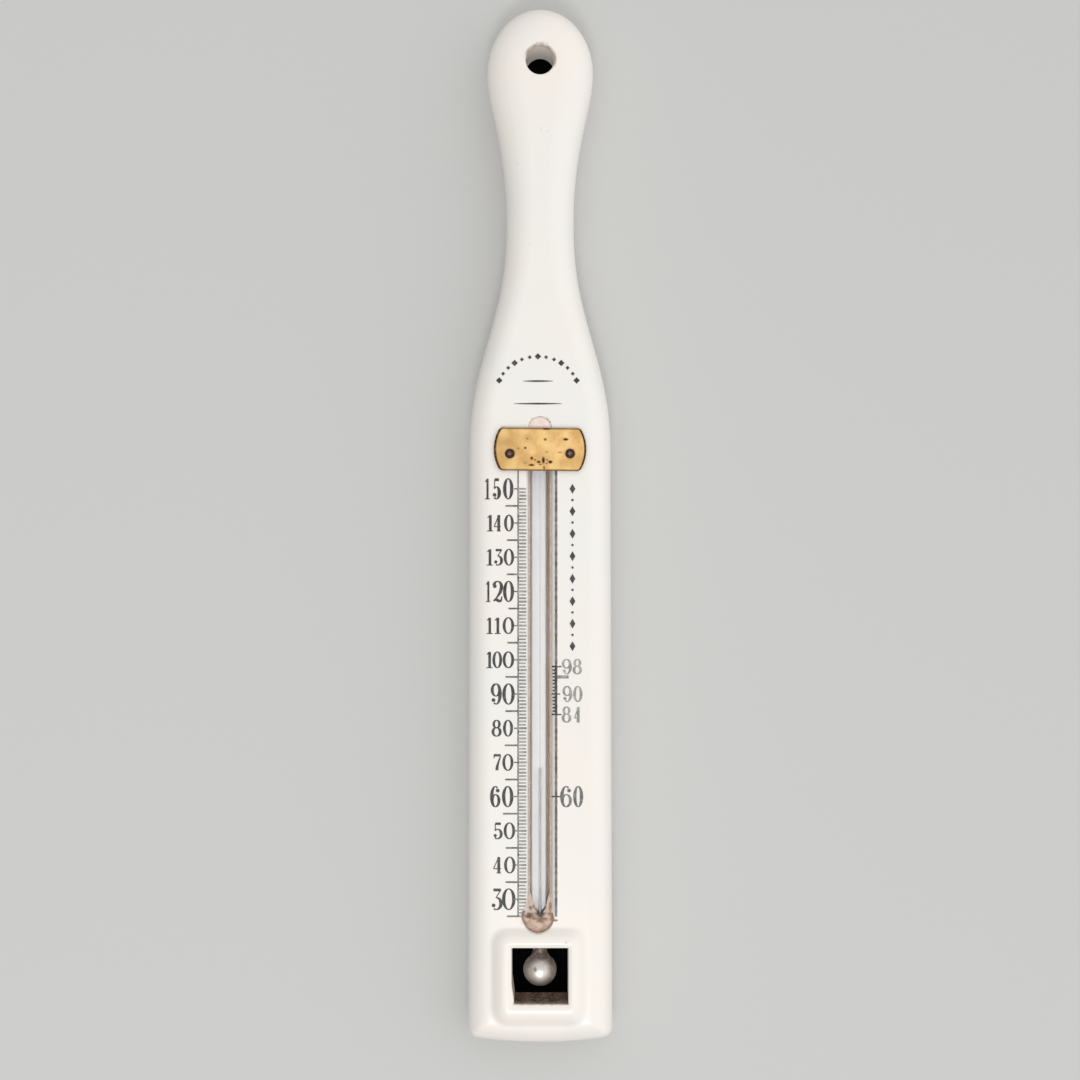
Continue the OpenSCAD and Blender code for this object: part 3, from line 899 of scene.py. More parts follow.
    def border(self, column: int, row: int, share: float, even: float) -> Point:
        """Return the place of a sheet's border point, with the outline drawn in.

        Args:
            column: The point's column, counted from the middle to the right.
            row: The point's row, counted from the foot.
            share: As for outline.
            even: As for outline.

        Returns:
            The point's X and Z.
        """
        steps = self.corner_steps
        if row == 0 and column <= self.reach - steps:
            t = self.columns[column] / self.columns[self.reach - steps]
            return self.outline(Stretch.FOOT, t, share, even)
        if row <= steps:
            t = (column - self.reach + steps) / steps / 2 if row == 0 else 0.5 + row / steps / 2
            return self.outline(Stretch.CORNER, t, share, even)
        if row < self.first:
            start = self.outline(Stretch.CORNER, 1, share, even)[1]
            z = mix(start, self.heights[0], (row - steps) / (self.first - steps))
            return self.outline(Stretch.SIDE, z, share, even)
        if row <= self.top:
            z = self.heights[row - self.first]
            if z < -self.head_drop:
                return self.outline(Stretch.SIDE, z, share, even)
            return self.outline(Stretch.HEAD, self.head_angle(z), share, even)
        shoulder = self.head_angle(self.heights[-1])
        turn = mix(shoulder, math.pi / 2, self.cap_share)
        if row == self.last:
            return self.outline(Stretch.HEAD, mix(math.pi / 2, turn, column / self.reach), share, even)
        return self.outline(Stretch.HEAD, mix(shoulder, turn, (row - self.top) / self.cap_steps), share, even)

    def across(self, column: int, z: float, edge_x: float) -> float:
        """Return a column's X in a straight row that ends at edge_x."""
        inner = math.sqrt(max((self.hole_r + self.hole_lip) ** 2 - z * z, 0))
        even = mix(inner, edge_x, column / self.reach)
        fixed = len(self.columns) - 1
        if column <= fixed:
            laid = self.columns[column]
        else:
            laid = mix(self.columns[fixed], edge_x, (column - fixed) / self.corner_steps)
        return mix(even, laid, soft((self.laid_from - z) / self.laid_over))

    def flat(self, column: int, row: int, share: float, even: float) -> Point:
        """Return the X and Z of a point of a sheet, in its right half.

        Args:
            column: The point's column, counted from the middle.
            row: The point's row, counted from the foot.
            share: As for outline.
            even: As for outline.

        Returns:
            The point's X and Z.
        """
        if row in (0, self.last) or column == self.reach:
            return self.border(column, row, share, even)
        pull = (column / self.reach) ** self.edge_pull
        edge = self.border(self.reach, row, share, even)
        if self.first <= row <= self.top:
            z = self.heights[row - self.first]
            return self.across(column, z, edge[0]), z + (edge[1] - z) * pull
        low, high = (0, self.first) if row < self.first else (self.top, self.last)
        t = (row - low) / (high - low)
        inner = [self.flat(column, r, share, even) for r in (low, high)]
        outer = [self.border(self.reach, r, share, even) for r in (low, high)]
        past = [edge[i] - mix(outer[0][i], outer[1][i], t) for i in (0, 1)]
        x, z = (mix(inner[0][i], inner[1][i], t) + past[i] * pull for i in (0, 1))
        return x, z

    def within(self, x: float, z: float, share: float) -> bool:
        """Tell whether a place in the right half lies inside the outline drawn in by a share."""
        if z > -self.head_drop:
            wide = self.outline(Stretch.HEAD, 0, share, 0)[0]
            tall = self.outline(Stretch.HEAD, math.pi / 2, share, 0)[1] + self.head_drop
            return (x / wide) ** 2 + ((z + self.head_drop) / tall) ** 2 <= 1
        if x > self.outline(Stretch.SIDE, z, share, 0)[0]:
            return False
        if z > self.window_foot:
            return True
        corner_x, corner_z, radius, _ = self.corner(share, 0)
        if math.hypot(x, z - self.foot_z - self.foot_curve_r) > self.foot_curve_r - share * self.edge_w:
            return False
        return x < corner_x or z > corner_z or math.hypot(x - corner_x, z - corner_z) <= radius

    def share_at(self, x: float, z: float) -> float:
        """Return the share of the soft edge that a place on the front lies in from the outline, at most 1."""
        if self.within(x, z, 1):
            return 1.0
        low, high = 0.0, 1.0
        for _ in range(self.halvings):
            middle = (low + high) / 2
            low, high = (middle, high) if self.within(x, z, middle) else (low, middle)
        return low

    def rim_height(self, x: float, z: float) -> float:
        """Return the height of the raised rim round the window at a place on the front."""
        aside = max(abs(x) - self.window_w / 2, 0) / self.rim_sides[x > 0]
        off = max(abs(z - self.window_z) - self.window_half, 0) / self.rim_ends[z > self.window_z]
        out = (aside**self.rim_square + off**self.rim_square) ** (1 / self.rim_square)
        if out < self.rim_crest:
            return self.rim_h * mix(1, self.rim_at_window, (1 - out / self.rim_crest) ** 2)
        return self.rim_h * (1 - min((out - self.rim_crest) / (1 - self.rim_crest), 1) ** 2) ** self.rim_fall

    def surface(self, x: float, z: float) -> float:
        """Return the Y of the glazed front at a place, away from the groove."""
        share = self.share_at(abs(x), z)
        y = self.front + self.edge_depth * (1 - math.sqrt(1 - (1 - share) ** 2)) - self.rim_height(x, z)
        top_off = math.hypot(x, z - self.top_pocket_z) - self.top_pocket_r
        pockets = ((self.pocket_off(x, z), self.foot_lip), (top_off, self.head_lip))
        sunk = max(1 - soft((off + start) / wide) for off, (start, wide) in pockets)
        return mix(y, self.front + self.pocket_depth, sunk)

    def pocket_off(self, x: float, z: float) -> float:
        """Return how far a place lies outside the uneven pocket at the groove's foot."""
        a, b = x - self.pocket_shift[0], z - self.pocket_z - self.pocket_shift[1]
        turn = math.atan2(b, a)
        waves = sum(ripple(tall, count * turn + start) for tall, count, start in self.pocket_waves)
        return math.hypot(a, b) - self.pocket_r - waves

    def _border_rings(self) -> list[Triple]:
        """Return the rings outside the front sheet as share, even inset and Y, round to the back sheet."""
        front = [math.radians(a) for a in self.front_turns]
        back = [math.radians(a) for a in self.back_turns]
        return [(1 - math.cos(a), 0.0, self.front + self.edge_depth * (1 - math.sin(a))) for a in front] + [
            (0.0, self.back_edge_r * (1 - math.sin(a)), -self.back_edge_r * (1 - math.cos(a))) for a in back
        ]

    def _wall_rings(self, lip: float) -> list[tuple[float, float, bool]]:
        """Return a wall's rings as inset, depth, and whether the depth runs from the front."""
        turns = [math.radians(a) for a in self.lip_turns]
        rounded = [(lip * math.sin(a), lip * (1 - math.cos(a))) for a in turns]
        straight = [(lip, lip + depth) for depth in self.wall_depths]
        front = [(inset, depth, True) for inset, depth in rounded + straight]
        return front + [(inset, depth, False) for inset, depth in reversed(rounded)] + [(0.0, 0.0, False)]

    def _sheet(self, front: bool) -> Piece:
        """Make one sheet as a tagged grid, with its hole split open and its window left out.

        Args:
            front: Whether it is the front sheet, with rim, groove and pockets.

        Returns:
            The new object.
        """
        share, even = (self.sheet_share, 0.0) if front else (0.0, self.back_edge_r)

        def place(column: int, row: int) -> Sequence[float]:
            """Return the place of one point of the sheet."""
            k = abs(column - self.reach)
            side = -1 if column < self.reach else 1
            x, z = self.flat(k, row, share, even)
            y = self.surface(side * x, z) if front else 0.0
            if front and k < len(self.groove):
                sunk = soft((z - self.pocket_z + self.groove_foot) / self.groove_fade)
                sunk *= soft((self.top_pocket_z - self.groove_head - z) / self.groove_fade)
                x = mix(x, self.groove[k][0], sunk)
                y = mix(y, self.front + self.groove[k][1], sunk)
            return side * x, y, z

        piece = woven("front" if front else "back", 2 * self.reach, self.last, place)
        width = 2 * self.reach + 1
        count = len(piece.data.vertices)
        columns = [i % width - self.reach for i in range(count)]
        known = {"column": columns, "row": [i // width for i in range(count)]}
        for tag in TAGS:
            layer = piece.data.attributes.new(tag, "INT", "POINT")
            layer.data.foreach_set("value", known.get(tag, [0] * count))
        self._open_window(piece)
        self._open_hole(piece)
        return piece

    def _choose_on(self, loop: Loop, mesh: bmesh.types.BMesh, parts: Sequence[object]) -> None:
        """Select the edges or faces of a sheet whose points are all on or inside a loop."""
        column, row = tags(mesh, "column", "row")
        for part in parts:
            part.select_set(all(self._on_loop(loop, v[column], v[row]) for v in part.verts))

    def _open_window(self, piece: Piece) -> None:
        """Delete a sheet's faces inside the window."""
        with editing(piece, Part.FACES) as mesh:
            self._choose_on(Loop.WINDOW, mesh, mesh.faces)
            bpy.ops.mesh.delete(type="FACE")

    def _open_hole(self, piece: Piece) -> None:
        """Split a sheet's middle column at the hanging hole and draw the two sides apart."""
        low, high = self.hole_rows
        with editing(piece, Part.EDGES) as mesh:
            self._choose_on(Loop.HOLE, mesh, mesh.edges)
            bpy.ops.mesh.edge_split(type="EDGE")
            mesh = bmesh.from_edit_mesh(piece.data)
            column, row = tags(mesh, "column", "row")
            for vertex in mesh.verts:
                if vertex[column] == 0 and low < vertex[row] < high:
                    if sum(face.calc_center_median().x for face in vertex.link_faces) < 0:
                        vertex.co.x = -abs(vertex.co.x)
            bmesh.update_edit_mesh(piece.data)

    def _on_loop(self, loop: Loop, column: int, row: int) -> bool:
        """Tell whether a sheet's point is on a loop, or inside it where it is the window's."""
        if loop is Loop.BORDER:
            return abs(column) == self.reach or row in (0, self.last)
        if loop is Loop.HOLE:
            return column == 0 and self.hole_rows[0] <= row <= self.hole_rows[1]
        return abs(column) <= self.window_column and self.window_rows[0] <= row <= self.window_rows[1]

    def _draw_out(self, piece: Piece, loop: Loop) -> None:
        """Extrude a loop of the front sheet in place, tagging each new ring with its number."""
        with editing(piece, Part.EDGES) as mesh:
            self._choose_on(loop, mesh, [edge for edge in mesh.edges if edge.is_boundary])
            for step in range(1, len(self.rings[loop]) + 1):
                bpy.ops.mesh.extrude_region_move()
                mesh = bmesh.from_edit_mesh(piece.data)
                ring, tag = tags(mesh, "ring", "loop")
                for vertex in mesh.verts:
                    if vertex.select:
                        vertex[ring] = step
                        vertex[tag] = loop.value
                bmesh.update_edit_mesh(piece.data)

    def _ring_place(self, loop: Loop, column: int, row: int, ring: int, now: Vector) -> Triple:
        """Return the place of a point of a drawn-out ring.

        Args:
            loop: The loop that was drawn out.
            column: The point's column, counted from the middle.
            row: The point's row, counted from the foot.
            ring: The ring's number, from 0.
            now: The point's place on the sheet.

        Returns:
            The point's X, Y and Z.
        """
        x, y, z = now
        if loop is Loop.BORDER:
            share, even, y = self.rings[loop][ring]
            x, z = self.border(abs(column), row, share, even)
            return (-x if column < 0 else x), y, z
        inset, depth, ahead = self.rings[loop][ring]
        if loop is Loop.HOLE:
            scale = (self.hole_r + self.hole_lip - inset) / math.hypot(x, z)
            x, z = x * scale, z * scale
        else:
            half = self.window_w / 2 + self.window_lip - inset
            tall = self.window_half + self.window_lip - inset
            x, z = held(x, -half, half), held(z, self.window_z - tall, self.window_z + tall)
        return x, (y + depth if ahead else -depth), z

    def _settle(self, piece: Piece) -> None:
        """Put each point of the drawn-out rings in its place."""
        found = zip(*([item.value for item in piece.data.attributes[tag].data] for tag in TAGS))
        for vertex, (column, row, ring, loop) in zip(piece.data.vertices, found):
            if ring:
                vertex.co = Vector(self._ring_place(Loop(loop), column, row, ring - 1, vertex.co / MM)) * MM

    def _worn(self, x: float, y: float, z: float) -> Triple:
        """Slant the window's left wall towards its foot, as moulded, and roughen its lower lip."""
        up = z - self.window_foot
        near = math.exp(-(((x + self.window_w / 2) / self.slant_wide) ** 2))
        low = soft(1 - up / self.slant_tall) * soft(1 + up / self.slant_under)
        x += self.slant * near * low
        if abs(x) < self.window_w / 2 and abs(up) < self.lip_band and y < self.front:
            z += ripple(0.12, 4.1 * x + 1, 1.3 * x) + ripple(0.06, 9.7 * x)
        return x, y, z

    def _rusted(self, x: float, z: float, deep: float) -> float:
        """Return the rust round the hanging hole's top, at a place and a depth."""
        above = soft((math.cos(math.atan2(z, x) - self.rust_turn) + 0.45) / 0.8)
        near = soft((self.hole_r + 0.85 - math.hypot(x, z)) / 0.45)
        shallow = 1 - soft((deep - 0.3) / self.rust_deep)
        return above * near * shallow * (self.rust + ripple(0.12, 3 * x))

    def _smeared(self, x: float, z: float) -> float:
        """Return the brown smear along the groove's edge, stronger towards its foot."""
        low = soft((self.pocket_z + self.smear_tall - z) / (self.smear_tall - 1))
        if x < 0:
            return soft((mix(*self.smear_x, low) + x) / 0.5) * mix(*self.smear, low)
        return self.smear[0] * (1 + low)

    def _dirt(self, x: float, y: float, z: float) -> float:
        """Return the dirt in the glaze at the hole, window, groove and foot, with painted shade deep in the
        window.
        """
        up, deep = z - self.window_foot, y - self.front
        if math.hypot(x, z) < self.hole_r + self.rust_wide:
            return self._rusted(x, z, deep)
        if abs(x) < self.window_w / 2 + 0.1 and abs(up) < self.lip_band and deep > -self.rim_h - 0.1:
            # The window's lower wall: a brown stain, darkened further from the front as painted shade.
            inside = soft((up + 0.32 + ripple(0.06, 2.1 * x)) / 0.25)
            return inside * mix(*self.wall_brown, soft((deep + 2) / 3)) * (0.96 - ripple(0.04, 1.3 * x))
        if y > -self.back_edge_r:
            return 0.0
        if -self.lip_x - self.smear_beside < x < self.lip_x and self.top_pocket_z > z > self.pocket_z:
            return self._smeared(x, z)
        if z >= self.pocket_z + 0.5:
            return 0.0
        off = abs(self.pocket_off(x, z) - 0.05) / self.pocket_rim_wide
        return self.pocket_rim * math.exp(-(off**2))

    def printed(self, x: float, z: float) -> float:
        """Return the Y of the glaze under the print, which may run over the groove's rounded lip."""
        y = self.surface(x, z)
        if self.top_pocket_z - 2 > z > self.pocket_z:
            lip = self.groove[-4:] + ((self.columns[len(self.groove)], 0.0),)
            for (inner, deep), (outer, shallow) in zip(lip, lip[1:]):
                if inner <= abs(x) < outer:
                    y += mix(deep, shallow, (abs(x) - inner) / (outer - inner))
        return y

    def build(self) -> None:
        """Build and dress the paddle."""
        front = self._sheet(True)
        for loop in Loop:
            self._draw_out(front, loop)
        self._settle(front)
        piece = joined([front, self._sheet(False)], "glazed_paddle")
        merge(piece)
        reshape(piece, self._worn)
        for tag in TAGS:
            piece.data.attributes.remove(piece.data.attributes[tag])
        mark_grime(piece, self._dirt)
        smooth(piece, 50)
        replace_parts(piece, "pottery_body")
        dress(piece, GLAZE.build())


@dataclass
class Tube:
    """The glass tube with its opal strip and its mercury."""

    stem_d: float = 6.4
    neck_d: float = 4.2
    bulb_d: float = 9.8
    bulb_wall: float = 0.6
    flare_r: float = 3.0
    bore_d: float = 0.5
    seen_bore_r: float = 0.07
    neck_wall: float = 0.9
    neck_run: float = 4.0
    taper_run: float = 6.0
    funnel_start: float = 1.5
    chamber_d: float = 1.6
    chamber_l: float = 4.0
    end_wall: float = 2.0
    opal_tip: float = 1.6
    opal_tip_share: float = 0.3
    opal_round: float = 0.18
    chamber_cone: float = 1.0
    bulb_gap: float = 0.02
    steps: int = 24
    flare_steps: int = 10
    taper_steps: int = 8
    dome_steps: int = 10
    # The mercury's painted shade all round a bright middle at these offsets, and its film up the neck.
    film_x: float = -0.2
    film_drop: float = 0.5
    film_clear_r: float = 1.7
    film_edge: float = 3.0
    film: Point = (0.45, 0.5)

    def __post_init__(self) -> None:
        """Take the tube's place from the frame."""
        low, high = box_mm("glass_tube")
        column_low, column_high = box_mm("mercury_column")
        self.axis = ((column_low.x + column_high.x) / 2, (column_low.y + column_high.y) / 2)
        self.top = high.z
        self.bulb_z = low.z + self.bulb_d / 2
        flare_rise = self._flare_rise(self.bulb_d / 2, self.neck_d / 2, self.flare_r)
        self.neck_top = self.bulb_z + flare_rise + self.neck_run

    @staticmethod
    def _flare_rise(ball: float, neck: float, flare: float) -> float:
        """Return how far above a ball's middle its flare meets the neck."""
        return math.sqrt((ball + flare) ** 2 - (neck + flare) ** 2)

    def _bulb(self, ball: float, neck: float, flare: float) -> list[Point]:
        """Return the half section of a ball that flares into a neck, from its lowest point up."""
        rise = self._flare_rise(ball, neck, flare)
        turn = math.atan2(rise, neck + flare)
        angles = [mix(-math.pi / 2, turn, i / self.steps) for i in range(self.steps + 1)]
        section = [(max(ball * math.cos(a), 0.0), self.bulb_z + ball * math.sin(a)) for a in angles]
        turns = [mix(math.pi + turn, math.pi, i / self.flare_steps) for i in range(1, self.flare_steps + 1)]
        middle_x, middle_z = neck + flare, self.bulb_z + rise
        return section + [(middle_x + flare * math.cos(a), middle_z + flare * math.sin(a)) for a in turns]

    def _glass(self) -> None:
        """Build the glass, with its bore and safety chamber inside."""
        stem_r, neck_r = self.stem_d / 2, self.neck_d / 2
        shares = [i / self.taper_steps for i in range(1, self.taper_steps + 1)]
        dome = [math.pi / 2 * i / self.dome_steps for i in range(self.dome_steps + 1)]
        section = self._bulb(self.bulb_d / 2, neck_r, self.flare_r) + [(neck_r, self.neck_top)]
        section += [(mix(neck_r, stem_r, soft(t)), self.neck_top + t * self.taper_run) for t in shares]
        section += [(max(stem_r * math.cos(a), 0.0), self.top - stem_r + stem_r * math.sin(a)) for a in dome]
        outer = turned("glass", section, self.axis, steps=96)
        bore_r, chamber_r = self.seen_bore_r, self.chamber_d / 2
        foot, head = box_mm("mercury_column")[0].z, self.top - self.end_wall
        chamber = head - self.chamber_l
        cavity = [
            (0, foot), (bore_r, foot), (bore_r, chamber - self.chamber_cone), (chamber_r, chamber),
            (chamber_r, head - self.chamber_cone), (0, head),
        ]
        bore = turned("bore", cavity, self.axis, steps=24)
        with editing(bore, whole=True):
            bpy.ops.mesh.flip_normals()
        piece = joined([outer, bore], "tube")
        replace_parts(piece, "glass_tube")
        dress(piece, GLASS.build())

    def _opal(self) -> None:
        """Build the opal strip from a bar that is pointed at its foot and rounded along its edges."""
        low, high = box_mm("opal_strip")
        low.z += self.opal_tip
        middle = (low + high) / 2 * MM
        deselect()
        bpy.ops.mesh.primitive_cube_add(size=1, location=middle, scale=(high - low) * MM)
        piece = named("opal_band")
        bpy.ops.object.transform_apply(location=True, rotation=True, scale=True)
        with editing(piece, Part.FACES) as mesh:
            for face in mesh.faces:
                face.select_set(face.normal.z < -0.5)
            bpy.ops.mesh.extrude_region_move(TRANSFORM_OT_translate={"value": (0, 0, -self.opal_tip * MM)})
            bpy.ops.transform.resize(value=(self.opal_tip_share, 1, 1), center_override=middle[:])
        finish_with(piece, "BEVEL", width=self.opal_round * MM, segments=3, limit_method="ANGLE")
        smooth(piece)
        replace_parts(piece, "opal_strip")
        dress(piece, OPAL.build())

    def _film(self, x: float, y: float, z: float) -> float:
        """Return the painted shade round the front's bright middle and at the back, and the film up the neck.
        """
        up = z - self.bulb_z
        aside = math.hypot(x - self.film_x, 0.9 * (up + self.film_drop))
        spread = max(soft((aside - self.film_clear_r) / self.film_edge), soft((y - self.axis[1] + 1) / 2))
        return spread * (self.film[0] + self.film[1] * soft(up / 3))

    def _reservoir(self) -> None:
        """Build the mercury in the bulb and the neck."""
        neck = self.neck_d / 2 - self.neck_wall
        foot = box_mm("mercury_column")[0].z
        section = self._bulb(self.bulb_d / 2 - self.bulb_wall, neck, self.flare_r + self.bulb_wall)
        section += [(neck, section[-1][1] + self.funnel_start)]
        section += [(self.bore_d / 2 - self.bulb_gap, foot), (0, foot)]
        piece = turned("mercury_bulb", section, self.axis, steps=80)
        mark_grime(piece, self._film)
        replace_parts(piece, "mercury_reservoir")
        dress(piece, MERCURY.build())

    def _thread(self) -> None:
        """Build the column of mercury, between the bulb and its top."""
        low, high = box_mm("mercury_column")
        radius = (high.x - low.x) / 2
        section = [(0, low.z), (radius, low.z), (radius, high.z), (0, high.z)]
        thread = turned("mercury_thread", section, self.axis, steps=20)
        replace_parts(thread, "mercury_column")
        dress(thread, THREAD.build(), "")
        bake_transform(thread)

    def build(self) -> None:
        """Build and dress the tube and what lies in it."""
        self._glass()
        self._opal()
        self._reservoir()
        self._thread()


@dataclass
class Plasters:
    """The bedding beside and behind the stem, and the plugs of plaster at its two ends."""

    paddle: Paddle
    tube: Tube
    bed_inner: float = 3.23
    bed_outer: float = 3.86
    bed_top: float = 1.75
    bed_foot: float = 1.5
    bed_edge: float = 3.52
    bed_edge_turn: float = 0.42
    bed_rows: int = 150
    arc: int = 28
    climb: float = 0.165
    step: float = 0.65
    step_at: float = 6.0
    step_over: float = 2.2
    rings: int = 34
    spokes: int = 110
    foot_lap: float = 0.14
    head_lap: float = 0.16
    rim_lap: float = 0.55
    foot_edge: float = 0.22
    foot_back: Point = (6.9, 7.0)
    collar: tuple[Point, ...] = ((0, 1.2), (3.4, 1.2), (3.5, 0.1), (3.2, -0.12), (0, -0.2))
    dome: Point = (0.03, 0.05)

    def level(self, z: float) -> float:
        """Return how deep the plaster beside the stem lies, which climbs up the stem at the foot."""
        up = max(z - self.paddle.pocket_z + 0.3, 0)
        return min(self.climb * up + self.step * soft((up - self.step_at) / self.step_over), self.bed_top)

    def _glass_depth(self, x: float, radius: float) -> float:
        """Return how deep the front of a round glass lies behind the plane of the front, at X."""
        return self.tube.axis[1] - self.paddle.front - math.sqrt(max(radius**2 - x * x, 0))

    def _trough(self, z: float) -> list[Point]:
        """Return the cross section of the bedding at a height, round the stem's axis."""
        deepest = self.tube.axis[1] - self.paddle.front
        level = self.level(z) + ripple(0.1, z * 0.9, z * 0.23) + ripple(0.05, z * 2.3)
        start = math.asin((deepest - level) / self.bed_inner)
        found = []
        for radius, left, right in (
            (self.bed_inner, math.pi - start, 2 * math.pi + start),
            (self.bed_outer, 2 * math.pi + self.bed_edge_turn, math.pi - self.bed_edge_turn),
        ):
            turns = [mix(left, right, i / self.arc) for i in range(self.arc + 1)]
            found += [(radius * math.cos(a), -radius * math.sin(a)) for a in turns]
        edge = self.bed_edge + 0.25 * (self.bed_top - level)
        found[self.arc + 1], found[-1] = (edge, level - deepest), (-edge, level - deepest)
        return found

    def _bed_grime(self, x: float, y: float, z: float) -> float:
        """Return the grime along the trough's edge and, in blotches, at its foot."""
        blotches = (0.6 + ripple(0.4, 5.1 * z + 2 * x, 1.9 * z)) / 0.45
        foot = soft((self.paddle.pocket_z + 8 - z) / 4)
        return max(soft((self.paddle.front + 3.2 - y) / 1.4), blotches * foot)

    def _bedding(self) -> None:
        """Build the bedding as a long trough round the back of the stem."""
        x0, y0 = self.tube.axis
        low_z, high_z = self.paddle.pocket_z + self.bed_foot, box_mm("stem_bedding")[1].z
        around = 2 * (self.arc + 1)

        def place(column: int, row: int) -> Sequence[float]:
            """Return the place of one point of the trough."""
            z = mix(low_z, high_z, (row / self.bed_rows) ** 2)
            x, y = self._trough(z)[column % around]
            return x0 + x, y0 + y, z

        piece = woven("bedding", around, self.bed_rows, place)
        merge(piece, 0.0002)
        with editing(piece, Part.EDGES) as mesh:
            for edge in mesh.edges:
                edge.select_set(edge.is_boundary)
            bpy.ops.mesh.fill_holes(sides=0)
            bpy.ops.mesh.select_all(action="SELECT")
            bpy.ops.mesh.normals_make_consistent(inside=False)
        smooth(piece, 60)
        mark_grime(piece, self._bed_grime)
        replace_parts(piece, "stem_bedding")
        dress(piece, BEDDING.build())

    def _plug(
        self, name: str, centre: Point, radius: float, depth: Callable[[float, float], float], thick: float
    ) -> Piece:
        """Build a round plug with an uneven face.

        Args:
            name: The plug's name.
            centre: The X and Z of its middle.
            radius: Its radius.
            depth: Gives its face's depth behind the plane of the front at a place.
            thick: The depth of its back.

        Returns:
            The new object.
        """

        def place(column: int, row: int) -> Sequence[float]:
            """Return the place of one point of the wrapped face and wall."""
            angle = 2 * math.pi * column / self.spokes
            share = min(row / self.rings, 1)
            x = centre[0] + radius * share * math.cos(angle)
            z = centre[1] + radius * share * math.sin(angle)
            if row == self.rings + 2:
                x, z = centre
            return x, self.paddle.front + (thick if row > self.rings else depth(x, z)), z

        piece = woven(name, self.spokes, self.rings + 2, place)
        merge(piece)
        smooth(piece, 50)
        return piece

    def _foot_depth(self, x: float, z: float) -> float:
        """Return the foot plug's depth: level round the foot, sunk beside the stem and uneven."""
        wave = ripple(0.05, 2.1 * x + 0.6, 1.7 * z) + ripple(0.03, 4.3 * x, 3.9 * z)
        edge = soft((self.paddle.pocket_off(x, z) + 1.2) / 1.4)
        lap = self.paddle.rim_height(x, z) * self.rim_lap * soft((self.paddle.pocket_z - 1 - z) / 3)
        return self.level(z) + wave + self.foot_edge * edge - lap

    def _foot_face(self, x: float, z: float) -> float:
        """Return the foot plug's depth, drawn back behind the stem where the glass stands in front of it."""
        level = self._foot_depth(x, z)
        stem_r = self.tube.stem_d / 2
        if z < self.paddle.pocket_z - 1 or abs(x) > stem_r:
            return level
        narrowed = soft((self.tube.neck_top + self.tube.taper_run - z) / self.tube.taper_run)
        glass = self._glass_depth(x, mix(stem_r, self.tube.neck_d / 2, narrowed))
        return mix(level, self.foot_back[0], soft((level - glass) / 0.12))

    def _foot_grime(self, x: float, y: float, z: float) -> float:
        """Return the grime along the stem's outline and round the foot plug's edge."""
        stem_r = self.tube.stem_d / 2
        rim = soft((self.paddle.pocket_off(x, z) + 0.7) / 0.6) * 0.62
        collar = soft(self.paddle.window_top + 2 - z) / 2
        if z <= self.paddle.pocket_z - 1.4 or abs(x) >= stem_r + 0.5:
            return max(rim, collar)
        notch = abs(self._foot_depth(x, z) - self._glass_depth(x, stem_r))
        return max(rim, 0.9 - notch / 0.5, collar)

    def _foot(self) -> None:
        """Build the plug at the foot of the groove, with the collar that the neck comes out of."""
        shift_x, shift_z = self.paddle.pocket_shift
        centre = (shift_x, self.paddle.pocket_z + shift_z)
        radius = self.paddle.pocket_r + self.foot_lap
        face = self._plug("foot_face", centre, radius, self._foot_face, self.foot_back[1])
        section = [(reach, self.paddle.window_top + rise) for reach, rise in self.collar]
        piece = joined([face, turned("collar", section, self.tube.axis)], "foot_plug")
        mark_grime(piece, self._foot_grime)
        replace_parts(piece, "foot_plaster")
        dress(piece, FOOT_PLASTER.build())

    def _head(self) -> None:
        """Build the plug at the top of the groove, whose dome shows above the clip."""
        z0 = self.paddle.top_pocket_z
        radius = self.paddle.top_pocket_r

        def depth(x: float, z: float) -> float:
            """Return the face's depth, a shallow dome with a worn middle."""
            off = math.hypot(x, z - z0) / radius
            return self.dome[0] + self.dome[1] * off**4 + ripple(0.02, 3.1 * x, 2.7 * z)

        piece = self._plug("head_plug", (0, z0), radius + self.head_lap, depth, self.paddle.pocket_depth + 1)
        mark_grime(piece, lambda x, y, z: soft((math.hypot(x, z - z0) - radius + 0.4) / 0.4))
        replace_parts(piece, "top_plaster")
        dress(piece, TOP_PLASTER.build())

    def build(self) -> None:
        """Build and dress the plasters."""
        self._bedding()
        self._foot()
        self._head()


